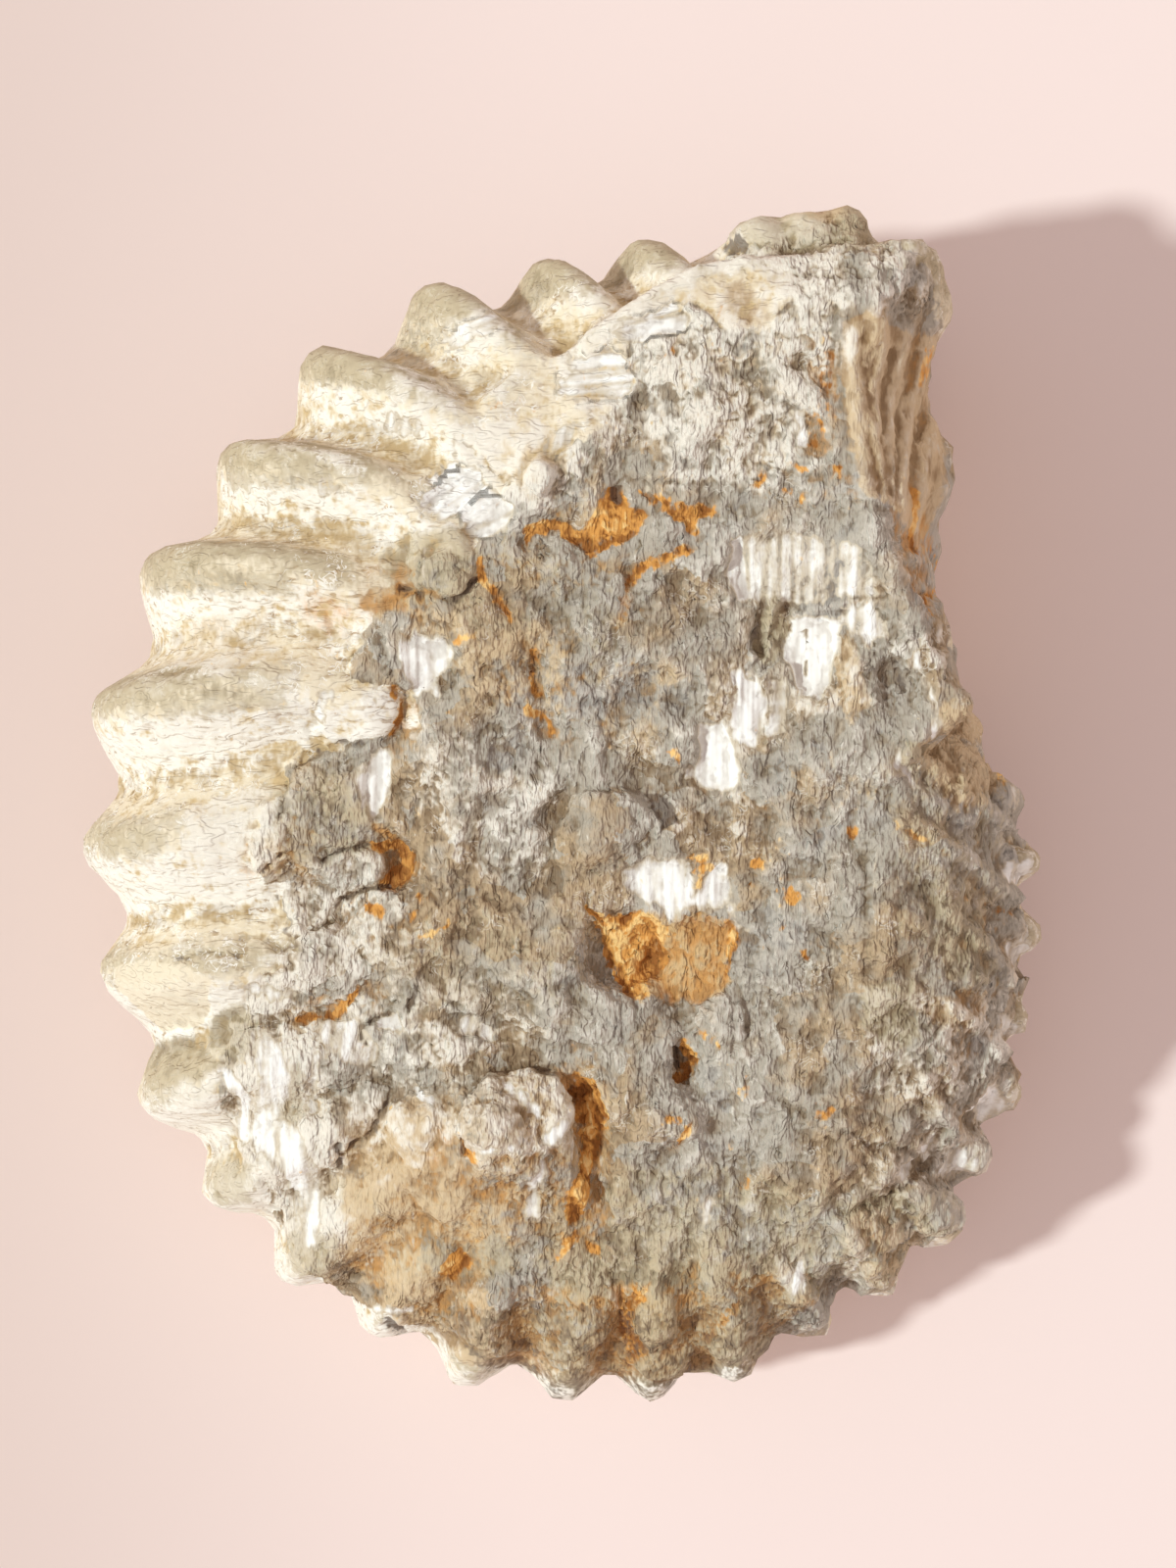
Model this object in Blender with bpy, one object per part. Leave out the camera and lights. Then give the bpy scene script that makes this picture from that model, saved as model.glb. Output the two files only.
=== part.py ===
"""A ribbed ammonite lying on its flank, with rock still filling its navel and covering the younger whorl.

Metres, +Z up, the aperture towards +Y. The plan is laid out about the coil's own axis, and the
finished stone is then moved so that the origin is under the middle of its box, on the resting plane.
Coil angles are in degrees, counted from +X towards -Y: the way the shell grows, seen from above.
"""

import math

import bmesh
import bpy
from mathutils import Vector, noise

MM = 0.001

# The coil: a logarithmic spiral, cut off by the break before its last turn is complete.
START_RADIUS = 51.2 * MM  # outer radius at coil angle 0
WHORL_GROWTH = 2.32  # how many times wider the coil is after one turn
COIL_FIRST, COIL_LAST = -380, 322
NAVEL_SHARE = 0.36  # inner edge of a whorl, as a share of its outer radius
WHORL_HALF_WIDTH = 0.30  # half the thickness of a whorl, as a share of its outer radius
SECTION_POWER = 2.35  # 2 is an ellipse, and more is boxier
SECTION_POINTS = 44
STEPS_PER_RIB = 8

# Each rib of the outer turn: its coil angle, and how far its crest stands off the spiral, in mm.
RIBS = (
    (-46, 5.0), (-34, 4.6), (-22, 3.4), (-12, 2.6), (-1, 0.4), (13, -2.0), (24, -1.0), (36, -2.4),
    (46, 0.6), (58, -1.0), (69, -2.2), (80, 0.0), (91, 0.0), (102, -0.2), (114, 0.0), (126, -1.8),
    (138, -1.0), (150, -1.5), (162, -0.6), (176, -1.4), (189, -0.8), (202, 0.6), (216, 0.8),
    (228, 0.6), (239, 1.8), (250, 0.8), (260, -1.6), (268, -2.8), (279, -2.4), (291, -1.2), (303, -1.0),
)
RIB_PITCH = 11.7  # degrees between ribs on the inner turns
RIB_DEPTH = 0.050  # groove depth at the rim, as a share of the outer radius
RIB_STRENGTH = ((-40, 1.4), (45, 1.3), (110, 1.2), (240, 1.2), (265, 1.0), (322, 0.5))  # by angle
RIB_SHARPNESS = 0.95
# Where the ribs begin on the flank, as a share of the outer radius, by coil angle.
RIB_INNER_END = (
    (20, 0.72), (60, 0.68), (130, 0.62), (160, 0.48), (205, 0.46), (232, 0.60), (255, 0.74),
    (322, 0.84),
)
RIB_INNER_END_BELOW = 0.42
UPPER_FLANK = ((215, 1.0), (260, 0.93))  # the upper flank is thinner towards the aperture
# On the older part of the turn the ribs lean towards the aperture as they run in from the rim.
LEAN_FROM, LEAN_FULL, LEAN_MOST = 170, 225, 44
UNEVEN, UNEVEN_SCALE = 0.45 * MM, 15 * MM  # how far the whorl's own surface wanders

# The coil's middle plane leans, because the thick aperture end and the thin end rest on one floor.
MIDDLE_HEIGHT = 21.6 * MM
MIDDLE_RISE_X, MIDDLE_RISE_Y = -0.012, 0.102

# The rock on the upper flank: its plane, and how far it reaches from the axis, as a share of the
# spiral's radius at each coil angle.
ROCK_HEIGHT = 45.0 * MM
ROCK_RISE_X, ROCK_RISE_Y = -0.03, 0.16
ROCK_REACH = (
    (-40, 0.92), (-10, 0.90), (20, 0.90), (45, 0.90), (65, 0.86), (85, 0.82), (105, 0.80),
    (125, 0.70), (150, 0.60), (180, 0.54), (210, 0.54), (235, 0.64), (255, 0.82), (275, 0.93),
    (295, 0.97), (325, 0.97),
)
ROCK_RINGS, ROCK_SPOKES = 60, 240
# How the rock's top falls away towards the rim, by coil angle: where the fall starts, and its depth.
FALL_START = (
    (-40, 0.64), (-10, 0.60), (20, 0.62), (50, 0.60), (80, 0.52), (110, 0.46), (150, 0.34),
    (210, 0.34), (245, 0.60), (290, 0.88),
)
FALL_DEPTH = (
    (-40, 12.5), (-10, 12.0), (20, 9.6), (50, 8.4), (80, 7.0), (110, 5.5), (150, 4.6), (210, 4.6),
    (245, 3.4), (290, 5.0),
)
NAVEL_FLOOR = 9.4 * MM  # height of the rock that fills the navel underneath
NAVEL_REACH = 0.42

# Swells and hollows of the rock's top, in mm from the axis: x, y, radius, height.
SWELLS = (
    (8, -3, 17, -1.6), (-6, 26, 16, -2.0), (-20, 8, 12, -1.2), (14, 40, 10, -1.6), (20, -20, 11, 1.2),
    (24, -42, 7, 1.6), (-30, -32, 12, 2.4), (31, 8, 9, 1.2), (5, -26, 7, -1.4), (4, 62, 12, -1.0),
    (21, 20, 8, 1.2), (-36, 2, 6, 1.0), (2, -44, 8, -1.4),
)
# Plates and pockets with a clear edge: x, y, half width, half depth, turn in degrees, height.
PLATES = (
    (-5.9, -1.1, 4.8, 5.6, 20, -3.8), (3.6, -3.0, 6.6, 6.4, 0, -1.7), (2.3, -16.5, 2.4, 3.6, 15, -3.2),
    (-29.5, -32.5, 12.4, 11.4, 12, 2.3), (-18.5, -24.2, 6.6, 6.4, 0, 1.9), (-9.8, -28, 2.5, 10, 8, -3.4),
    (-11.8, -40.6, 3.4, 3, -35, -2.4), (-10, 54.7, 8.6, 4, 14, -2.8), (3.7, 55.4, 3.4, 2.8, -30, -2.0),
    (18.6, 48.4, 10.4, 4.6, -5, -1.5), (13.7, 41.1, 1.8, 4.8, -6, -2.8), (19.6, 37, 3.2, 4.4, -10, -1.4),
    (30.7, 34.6, 3.8, 4.2, 0, -2.2), (-29.7, 49.2, 3.8, 5.0, -20, 1.7), (-25.6, 57, 6, 4.4, 35, -1.2),
    (-31, 36, 4.6, 4, 0, -1.5), (-34.4, 29.6, 1.8, 3.6, -10, -2.8), (-35.2, 11.3, 2.4, 3.2, 0, -3.0),
    (-44, -9.2, 3.8, 1.9, 22, -2.4), (37, 21.9, 7, 4.6, -30, 1.6), (33.6, -33.6, 6.4, 3.4, 38, -1.8),
    (29, -39.4, 5.6, 4.8, 0, 1.5), (-8.7, 14.9, 5.2, 3.6, 0, 1.9), (-13.4, 16.2, 2.1, 4.6, -12, -1.9),
    (-16, 32.8, 2.2, 5.6, 15, -1.9), (0.3, -24.5, 4.2, 2.4, 15, 1.5), (-27.3, -42.5, 2.4, 2.2, 0, -1.8),
    (6.3, 24.6, 2.8, 5.0, -12, -1.2), (-14, -6.8, 8.5, 3.2, -28, 1.2), (-22, -11.5, 6.5, 3.0, -20, -1.2),
    (12, 66, 10, 7, 6, 0.9), (-4, 73, 7, 5, 12, -1.0), (22, 2, 8, 6, 25, 0.9), (12, -34, 5, 7, 10, -1.2),
)
PLATE_EDGE = 0.26  # how much of a plate is its sloping edge
ROUGHNESS, ROUGHNESS_SCALE = 1.15 * MM, 10 * MM

# Crusts that stand out along the top rim and at the broken corner: x, y, z, and half sizes, in mm.
CRUSTS = (
    (13.5, 91.6, 41, 4.8, 3.4, 8), (19.2, 92.2, 42, 5.4, 3.6, 8), (23.6, 92.8, 42, 3.8, 3.6, 8),
    (31.0, 84.5, 35, 6.6, 8.0, 19), (9, 89, 34, 4.5, 3, 10), (33.0, 76, 26, 4.4, 6.0, 16),
    (35.0, 46, 22, 3.2, 6, 12), (38.0, 31, 24, 3.2, 8, 12),
)

# The break across the aperture, facing +X: its top edge and its foot, as y and x in mm.
BREAK_EDGE = ((30, 38), (36, 35), (47, 29.5), (57, 25.5), (78, 24), (90, 26.5), (97, 24), (110, 10))
BREAK_FOOT = (
    (32, 39.3), (38, 37.8), (48, 35.6), (56, 36.1), (62, 36.7), (68, 35.7), (77, 35.6), (83, 37.2),
    (88, 36.6), (93, 34.6), (97, 31), (104, 20), (112, 10),
)
# Layers step down from the top edge to the foot: share of the way out, and height in mm.
BREAK_LAYERS = (
    (0.0, 76), (0.0, 57.0), (0.20, 56.2), (0.25, 54.6), (0.43, 53.6), (0.48, 51.8), (0.65, 50.6),
    (0.70, 48.8), (0.86, 47.2), (0.95, 43.5), (1.0, 35), (0.98, 16), (0.9, -6),
)
BREAK_ROUGHNESS = 2.0 * MM
BREAK_MIDDLE_Y = 75 * MM  # where those heights are measured
BREAK_FOLLOW = ((12, 0), (44, 1))  # how far they follow the rock's own rise, by height

VOXEL = 1.1 * MM
TRIANGLES = 9600
UNDERSIDE_THINNING = 3e-6  # how much more readily the underside is thinned than the rest
FLOOR_CUT = 1.0 * MM  # worn flat to this depth where it rests
FLOOR_SNAP = 0.2 * MM  # thinning leaves points this near the plane, which are put back on it


def interpolate(pairs, at):
    """Value at a place between hand-set (place, value) pairs, eased so that it has no corners."""
    if at <= pairs[0][0]:
        return pairs[0][1]
    for (left, low), (right, high) in zip(pairs, pairs[1:]):
        if at <= right:
            share = (at - left) / (right - left)
            return low + (high - low) * share * share * (3 - 2 * share)
    return pairs[-1][1]


def spiral_radius(angle):
    return START_RADIUS * WHORL_GROWTH ** (angle / 360)


def crest_radius(angle):
    """Outer radius at the rib crests, with each rib's own stand-off."""
    stand_off = interpolate(RIBS, angle) if angle > RIBS[0][0] - 60 else 0.0
    inward = max(0.0, min(1.0, (angle - RIBS[0][0] + 60) / 60))
    return spiral_radius(angle) + stand_off * MM * inward


def rib_count(angle):
    """How many ribs lie behind this coil angle, as a number that is whole on every crest."""
    first = RIBS[0][0]
    if angle <= first:
        return (angle - first) / RIB_PITCH
    for number, ((left, _), (right, _)) in enumerate(zip(RIBS, RIBS[1:])):
        if angle <= right:
            return number + (angle - left) / (right - left)
    return len(RIBS) - 1 + (angle - RIBS[-1][0]) / RIB_PITCH


def rib_profile(angle, share):
    """1 on a rib crest and 0 in a groove, at a share of the outer radius in from the rim."""
    lean = LEAN_MOST * interpolate(((LEAN_FROM, 0), (LEAN_FULL, 1)), angle)
    turns = rib_count(angle - lean * (1 - share))
    return (0.5 + 0.5 * math.cos(2 * math.pi * turns)) ** RIB_SHARPNESS


def middle_height(x, y):
    return MIDDLE_HEIGHT + MIDDLE_RISE_X * x + MIDDLE_RISE_Y * y


def at_angle(radius, angle):
    turn = math.radians(angle)
    return radius * math.cos(turn), -radius * math.sin(turn)


def power_of(value, power):
    return math.copysign(abs(value) ** power, value)


def section_point(angle, around):
    """A point of the whorl's surface: around is 0 on the rim and a quarter turn on the upper flank."""
    outer = crest_radius(angle)
    inner = NAVEL_SHARE * outer
    half_height, half_width = (outer - inner) / 2, WHORL_HALF_WIDTH * outer
    along = power_of(math.cos(around), 2 / SECTION_POWER)
    up = power_of(math.sin(around), 2 / SECTION_POWER)
    share = (inner + half_height * (1 + along)) / outer
    above = around < math.pi
    begin = interpolate(RIB_INNER_END, angle) if above else RIB_INNER_END_BELOW
    fade = interpolate(((begin, 0), (begin + 0.13, 0.75), (begin + 0.26, 1)), share)
    depth = RIB_DEPTH * outer * interpolate(RIB_STRENGTH, angle)
    sink = depth * fade * (1 - rib_profile(angle, share))
    scale_in = 1 - sink / half_height
    radius = inner + half_height * (1 + along * scale_in)
    x, y = at_angle(radius, angle)
    half_width *= interpolate(UPPER_FLANK, angle) if above else 1.0
    point = Vector((x, y, middle_height(x, y) + up * half_width * scale_in))
    return point + UNEVEN * noise.noise_vector(point / UNEVEN_SCALE)


def coil():
    """The ribbed tube, swept along the spiral ring by ring and bridged."""
    mesh = bmesh.new()
    step = RIB_PITCH / STEPS_PER_RIB
    rings = []
    for number in range(int((COIL_LAST - COIL_FIRST) / step) + 1):
        angle = COIL_FIRST + number * step
        ring = [
            mesh.verts.new(section_point(angle, 2 * math.pi * point / SECTION_POINTS))
            for point in range(SECTION_POINTS)
        ]
        edges = [mesh.edges.new((ring[i - 1], ring[i])) for i in range(SECTION_POINTS)]
        if rings:
            bmesh.ops.bridge_loops(mesh, edges=rings[-1] + edges)
        rings.append(edges)
    for end in (rings[0], rings[-1]):
        bmesh.ops.contextual_create(mesh, geom=end)
    bmesh.ops.recalc_face_normals(mesh, faces=mesh.faces)
    return mesh


def plate_rise(plate, x, y):
    """Height that a plate adds at a place, in mm: level within it, with a short slope at its edge."""
    plate_x, plate_y, half_x, half_y, turn, rise = plate
    cos, sin = math.cos(math.radians(turn)), math.sin(math.radians(turn))
    along = ((x - plate_x) * cos + (y - plate_y) * sin) / half_x
    across = ((y - plate_y) * cos - (x - plate_x) * sin) / half_y
    ragged = 0.16 * noise.noise(Vector((x, y, plate_x)) / 4.5)
    apart = (abs(along) ** 2.6 + abs(across) ** 2.6) ** (1 / 2.6) + ragged
    share = max(0.0, min(1.0, (1 + PLATE_EDGE / 2 - apart) / PLATE_EDGE))
    return rise * share * share * (3 - 2 * share)


def rock_top(x, y):
    """Height of the rock's upper surface over a point of the plan."""
    height = ROCK_HEIGHT + ROCK_RISE_X * x + ROCK_RISE_Y * y
    for swell_x, swell_y, radius, rise in SWELLS:
        apart = math.hypot(x / MM - swell_x, y / MM - swell_y) / radius
        height += rise * MM * math.exp(-apart * apart)
    for plate in PLATES:
        height += plate_rise(plate, x / MM, y / MM) * MM
    place = Vector((x, y, 0)) / ROUGHNESS_SCALE
    return height + ROUGHNESS * noise.fractal(place, 0.9, 2.1, 4)


def plan_angle(x, y):
    """Coil angle of a point on the outer turn, whose end is at COIL_LAST."""
    angle = math.degrees(math.atan2(-y, x))
    return angle if angle > COIL_LAST - 360 else angle + 360


def rock_cap():
    """The rock on top: a disc spun from one line, pulled out to its reach and raised, then given depth."""
    mesh = disc()
    for vert in mesh.verts:
        share, angle = vert.co.length, plan_angle(vert.co.x, vert.co.y)
        reach = interpolate(ROCK_REACH, angle)
        x, y = at_angle(share * reach * crest_radius(angle), angle)
        out = share * reach
        start = interpolate(FALL_START, angle)
        fall = max(0.0, out - start) / max(0.05, reach - start)
        drop = interpolate(FALL_DEPTH, angle) * MM * fall**1.6
        vert.co = Vector((x, y, rock_top(x, y) - drop))
    return thickened(mesh, lambda vert: middle_height(vert.co.x, vert.co.y))


def navel_fill():
    """The rock that fills the navel underneath, a little shy of the resting plane."""
    mesh = disc()
    for vert in mesh.verts:
        share, angle = vert.co.length, plan_angle(vert.co.x, vert.co.y)
        x, y = at_angle(share * NAVEL_REACH * spiral_radius(angle), angle)
        lumps = noise.fractal(Vector((x, y, 1)) / ROUGHNESS_SCALE, 0.9, 2.1, 3)
        vert.co = Vector((x, y, NAVEL_FLOOR + 1.6 * ROUGHNESS * lumps))
    return thickened(mesh, lambda vert: middle_height(vert.co.x, vert.co.y))


def disc():
    """A flat disc of radius 1, spun from a line of points."""
    mesh = bmesh.new()
    line = [mesh.verts.new((ring / ROCK_RINGS, 0, 0)) for ring in range(ROCK_RINGS + 1)]
    edges = [mesh.edges.new(pair) for pair in zip(line, line[1:])]
    bmesh.ops.spin(
        mesh, geom=line + edges, cent=(0, 0, 0), axis=(0, 0, 1), angle=2 * math.pi,
        steps=ROCK_SPOKES, use_merge=True,
    )
    bmesh.ops.remove_doubles(mesh, verts=mesh.verts, dist=1e-5)
    return mesh


def thickened(mesh, far_height):
    """Closes a sheet into a solid that reaches to far_height, and turns its faces outwards."""
    made = bmesh.ops.extrude_face_region(mesh, geom=mesh.faces[:])
    for vert in made["geom"]:
        if isinstance(vert, bmesh.types.BMVert):
            vert.co.z = far_height(vert)
    bmesh.ops.recalc_face_normals(mesh, faces=mesh.faces)
    return mesh


def crusts():
    """Rounded lumps that stand out along the rim."""
    mesh = bmesh.new()
    for x, y, z, half_x, half_y, half_z in CRUSTS:
        made = bmesh.ops.create_icosphere(mesh, subdivisions=3, radius=1)
        for vert in made["verts"]:
            rough = 1 + 0.22 * noise.noise(vert.co * 1.7 + Vector((x, y, z)))
            vert.co = Vector((x, y, z)) * MM + rough * MM * Vector(
                (half_x * vert.co.x, half_y * vert.co.y, half_z * vert.co.z)
            )
    return mesh


def break_point(share, y):
    """A point of the broken end: share runs down its profile, from above the stone to below it."""
    spans = [
        math.hypot((to_out - from_out) * 12, to_z - from_z) + 1.5
        for (from_out, from_z), (to_out, to_z) in zip(BREAK_LAYERS, BREAK_LAYERS[1:])
    ]
    left = share * sum(spans)
    number = 0
    while number < len(spans) - 1 and left > spans[number]:
        left -= spans[number]
        number += 1
    (from_out, from_z), (to_out, to_z) = BREAK_LAYERS[number], BREAK_LAYERS[number + 1]
    part = min(1.0, left / spans[number])
    out, z = from_out + (to_out - from_out) * part, (from_z + (to_z - from_z) * part) * MM
    edge, foot = interpolate(BREAK_EDGE, y / MM) * MM, interpolate(BREAK_FOOT, y / MM) * MM
    sway = BREAK_ROUGHNESS * noise.fractal(Vector((y, z * 0.7, 0)) / (13 * MM), 0.9, 2.1, 3)
    follow = ROCK_RISE_Y * (y - BREAK_MIDDLE_Y) * interpolate(BREAK_FOLLOW, z / MM)
    return Vector((edge + (foot - edge) * out + sway, y, z + follow))


def break_cutter():
    """Everything beyond the broken end of the last whorl."""
    low_y, high_y, far_x = 31.5 * MM, 118 * MM, 95 * MM
    mesh = bmesh.new()
    made = bmesh.ops.create_grid(mesh, x_segments=70, y_segments=110, size=0.5)
    for vert in made["verts"]:
        y = low_y + (vert.co.x + 0.5) * (high_y - low_y)
        vert.co = break_point(0.5 - vert.co.y, y)
    grown = bmesh.ops.extrude_face_region(mesh, geom=mesh.faces[:])
    for vert in grown["geom"]:
        if isinstance(vert, bmesh.types.BMVert):
            vert.co.x = far_x
    bmesh.ops.recalc_face_normals(mesh, faces=mesh.faces)
    return mesh


def linked(name, mesh):
    """A new object that holds a bmesh."""
    data = bpy.data.meshes.new(name)
    mesh.to_mesh(data)
    mesh.free()
    made = bpy.data.objects.new(name, data)
    bpy.context.collection.objects.link(made)
    return made


def cutter(name, mesh):
    made = linked(name, mesh)
    made.hide_render = True
    made.display_type = "WIRE"
    return made


def evaluated_copy(source, name):
    """A plain mesh object with the source's modifiers applied."""
    graph = bpy.context.evaluated_depsgraph_get()
    data = bpy.data.meshes.new_from_object(source.evaluated_get(graph))
    data.name = name
    made = bpy.data.objects.new(name, data)
    bpy.context.collection.objects.link(made)
    return made


def remeshed(source, name):
    """The source fused into one even skin, as a new object in its place."""
    fuse = source.modifiers.new("fuse", "REMESH")
    fuse.mode = "VOXEL"
    fuse.voxel_size = VOXEL
    made = evaluated_copy(source, name)
    bpy.data.objects.remove(source)
    return made


def drop_chips(data):
    """Removes every loose chip, and keeps the largest body."""
    mesh = bmesh.new()
    mesh.from_mesh(data)
    left = set(mesh.verts)
    bodies = []
    while left:
        body, edge = set(), {left.pop()}
        while edge:
            body |= edge
            edge = {e.other_vert(v) for v in edge for e in v.link_edges} - body
        left -= body
        bodies.append(body)
    keep = max(bodies, key=len)
    bmesh.ops.delete(mesh, geom=[v for v in mesh.verts if v not in keep], context="VERTS")
    mesh.to_mesh(data)
    mesh.free()


def limestone():
    material = bpy.data.materials.new("weathered_limestone")
    material.use_nodes = True
    shader = material.node_tree.nodes["Principled BSDF"]
    shader.inputs["Base Color"].default_value = (0.52, 0.46, 0.36, 1)
    shader.inputs["Roughness"].default_value = 0.9
    shader.inputs["Metallic"].default_value = 0.0
    return material


def raw_stone():
    """Coil, rock and crusts in one mesh, still passing through each other."""
    whole = bmesh.new()
    for piece in (coil(), rock_cap(), navel_fill(), crusts()):
        data = bpy.data.meshes.new("piece")
        piece.to_mesh(data)
        piece.free()
        whole.from_mesh(data)
        bpy.data.meshes.remove(data)
    return whole


def ammonite():
    """The whole stone: its shapes fused, its end broken off, its foot worn flat."""
    fused = remeshed(linked("stone", raw_stone()), "fused")
    snap = fused.modifiers.new("break", "BOOLEAN")
    snap.operation = "DIFFERENCE"
    beyond = cutter("break_cutter", break_cutter())
    snap.object = beyond
    broken = remeshed(fused, "broken")
    bpy.data.objects.remove(beyond)
    drop_chips(broken.data)

    for vert in broken.data.vertices:
        vert.co.z = max(vert.co.z, FLOOR_CUT)
    under = broken.vertex_groups.new(name="underside")
    for vert in broken.data.vertices:
        away = max(0.0, -vert.normal.z) if vert.co.z < MIDDLE_HEIGHT else 0.0
        under.add([vert.index], 0.5 + 0.5 * away, "REPLACE")
    thin = broken.modifiers.new("thin", "DECIMATE")
    thin.ratio = TRIANGLES / (2 * len(broken.data.polygons))
    thin.vertex_group = under.name
    thin.vertex_group_factor = UNDERSIDE_THINNING
    made = evaluated_copy(broken, "ammonite")
    bpy.data.objects.remove(broken)
    for vert in made.data.vertices:
        if vert.co.z < FLOOR_CUT + FLOOR_SNAP:
            vert.co.z = FLOOR_CUT

    corners = [Vector(corner) for corner in made.bound_box]
    low = Vector(map(min, *corners))
    high = Vector(map(max, *corners))
    for vert in made.data.vertices:
        vert.co -= Vector(((low.x + high.x) / 2, (low.y + high.y) / 2, low.z))
    made.data.materials.clear()
    made.data.materials.append(limestone())
    made.data.shade_smooth()
    return made


def main():
    for old in list(bpy.data.objects):
        bpy.data.objects.remove(old)
    ammonite()


main()
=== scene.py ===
import math

import bmesh
import bpy
import numpy as np
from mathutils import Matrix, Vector, noise


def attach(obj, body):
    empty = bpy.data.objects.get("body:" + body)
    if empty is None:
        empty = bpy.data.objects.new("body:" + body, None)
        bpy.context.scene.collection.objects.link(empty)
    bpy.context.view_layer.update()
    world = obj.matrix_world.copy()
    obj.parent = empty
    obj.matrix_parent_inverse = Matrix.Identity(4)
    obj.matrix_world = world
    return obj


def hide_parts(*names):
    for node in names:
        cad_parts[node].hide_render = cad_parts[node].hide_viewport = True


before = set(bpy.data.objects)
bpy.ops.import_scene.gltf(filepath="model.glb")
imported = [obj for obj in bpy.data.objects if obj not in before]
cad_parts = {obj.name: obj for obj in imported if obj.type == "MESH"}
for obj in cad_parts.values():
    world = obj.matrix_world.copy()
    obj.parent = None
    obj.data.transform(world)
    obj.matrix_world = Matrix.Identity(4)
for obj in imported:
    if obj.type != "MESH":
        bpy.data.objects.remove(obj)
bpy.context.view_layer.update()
mm = 0.001
print("frame loaded")

# The stone. Lengths are in millimetres; places are in plan, from the middle of the stone.
stone = {
    "merge": 0.001,  # points of the solid nearer than this are one
    "roundings": 2,  # levels of rounding
    "pushes": 3,  # times that the corners are moved back out, and the share of the way each time
    "push": 0.8,
    "grid": 0.55,  # step of the working skin
    "triangles": 188000,
    "thinBelow": 0.3,  # skin whose smoothed normal points up less than this is thinned
    "broadRounds": 110,  # rounds of smoothing that take the ribs off
    "slopeRounds": 12,  # that leave the slopes of the ribs
    "fineRounds": 9,  # that take only the finest roughness off
    "middle": 22,  # upright skin well above this height belongs to the upper side
    "coilAxis": (13.3, -16.2),
    "navel": 31.0,  # radius of the rock that fills the navel underneath
    "ragged": 0.26,  # broken rock: height of the 4 mm roughness
    "grit": 0.06,  # and of the 1.3 mm roughness
    "beds": ((16.0, 9, 0.5), (6.0, 8, 0.26)),  # thin beds that break off: size, number, height of each
    "facets": ((9.0, 1.8), (4.2, 0.8)),  # chipped faces: size, height
    "wrinkle": 0.14,  # worn whorl: height of its fine wrinkles
    "lumps": 0.35,  # slow unevenness of everything
    "groove": 0.5,  # how much deeper the grooves between ribs are worn
    "crest": 0.5,  # and how much prouder the ribs stand
    "fibre": 0.2,  # grooves in the shell scars
    "rest": (0.3, 2.5),  # no relief below the first height, all of it above the second
}

# Outline of the bare rock on top, anticlockwise from the upper end: x and y in turn, in tenths of a millimetre
rockEdge = (
    220, 730, 280, 690, 270, 630, 200, 620, 160, 650, 90, 630, 100, 550, 30, 500, -40, 420, -90, 390, -130, 340,
    -190, 350, -210, 290, -260, 270, -270, 180, -200, 160, -200, 110, -340, 60, -400, -20, -410, -80, -360, -110,
    -350, -180, -440, -270, -460, -350, -410, -470, -360, -590, -270, -660, -130, -710, -20, -740, 170, -770, 300,
    -740, 430, -650, 550, -540, 600, -370, 620, -160, 620, 10, 540, 130, 520, 310, 510, 570, 480, 680, 400, 790,
)

# Rust pockets: x, y, half length, half width, turn, depth, strength
rust = [
    (13.4, 59.3, 0.8, 0.6, 0, 0.5, 0.9), (25.7, 43.8, 0.9, 0.6, 40, 0.5, 0.8),
    (28.3, 42.8, 0.9, 0.6, 30, 0.6, 0.95), (30.9, 44.8, 0.9, 0.6, -30, 0.4, 0.8),
    (35.3, 44.8, 1, 0.5, 10, 0.4, 0.8), (30.2, 41.1, 0.7, 0.5, 60, 0.4, 0.8), (15.2, 7.7, 1, 0.5, 100, 0.6, 0.9),
    (37.3, -2.7, 0.9, 0.8, -30, 0.5, 0.9), (24.9, -5.8, 0.9, 0.6, 20, 0.5, 0.85),
    (24.9, -8.6, 0.6, 0.6, 0, 0.4, 0.8), (29.9, -10.8, 1.2, 0.8, -40, 0.6, 0.95),
    (31.5, -18.1, 1, 0.6, -10, 0.5, 0.9), (28.5, -14.3, 0.6, 0.4, 0, 0.3, 0.7),
    (24.1, -35.4, 0.8, 0.5, 80, 0.4, 0.8), (33.9, -38.6, 1.5, 0.5, -8, 0.4, 0.7),
    (19.9, -49.6, 1, 0.4, 5, 0.4, 0.7), (24.3, -48.9, 1.4, 0.8, 20, 0.3, 0.45),
    (-11.4, -44.2, 0.9, 0.6, 0, 0.4, 0.8), (9, -69.5, 5.8, 1.3, 97, 0.5, 0.85), (10.5, -64.4, 1, 1, 0, 0.3, 0.9),
    (21, -67.5, 3.1, 0.9, 60, 0.5, 0.7), (45, -2.5, 1.9, 0.4, -20, 0.3, 0.75),
    (57.5, -12.5, 1.7, 0.4, -25, 0.2, 0.6), (57.5, 4.5, 1.7, 0.8, 100, 0.3, 0.6),
    (-8.3, 53.2, 0.6, 0.5, 0, 0.2, 0.7), (-3.5, 52.5, 0.5, 0.5, 0, 0.2, 0.6), (29.2, -4.9, 0.5, 0.4, 0, 0.3, 0.7),
    (35.4, -32.7, 0.5, 0.4, 0, 0.2, 0.6),
]

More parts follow.
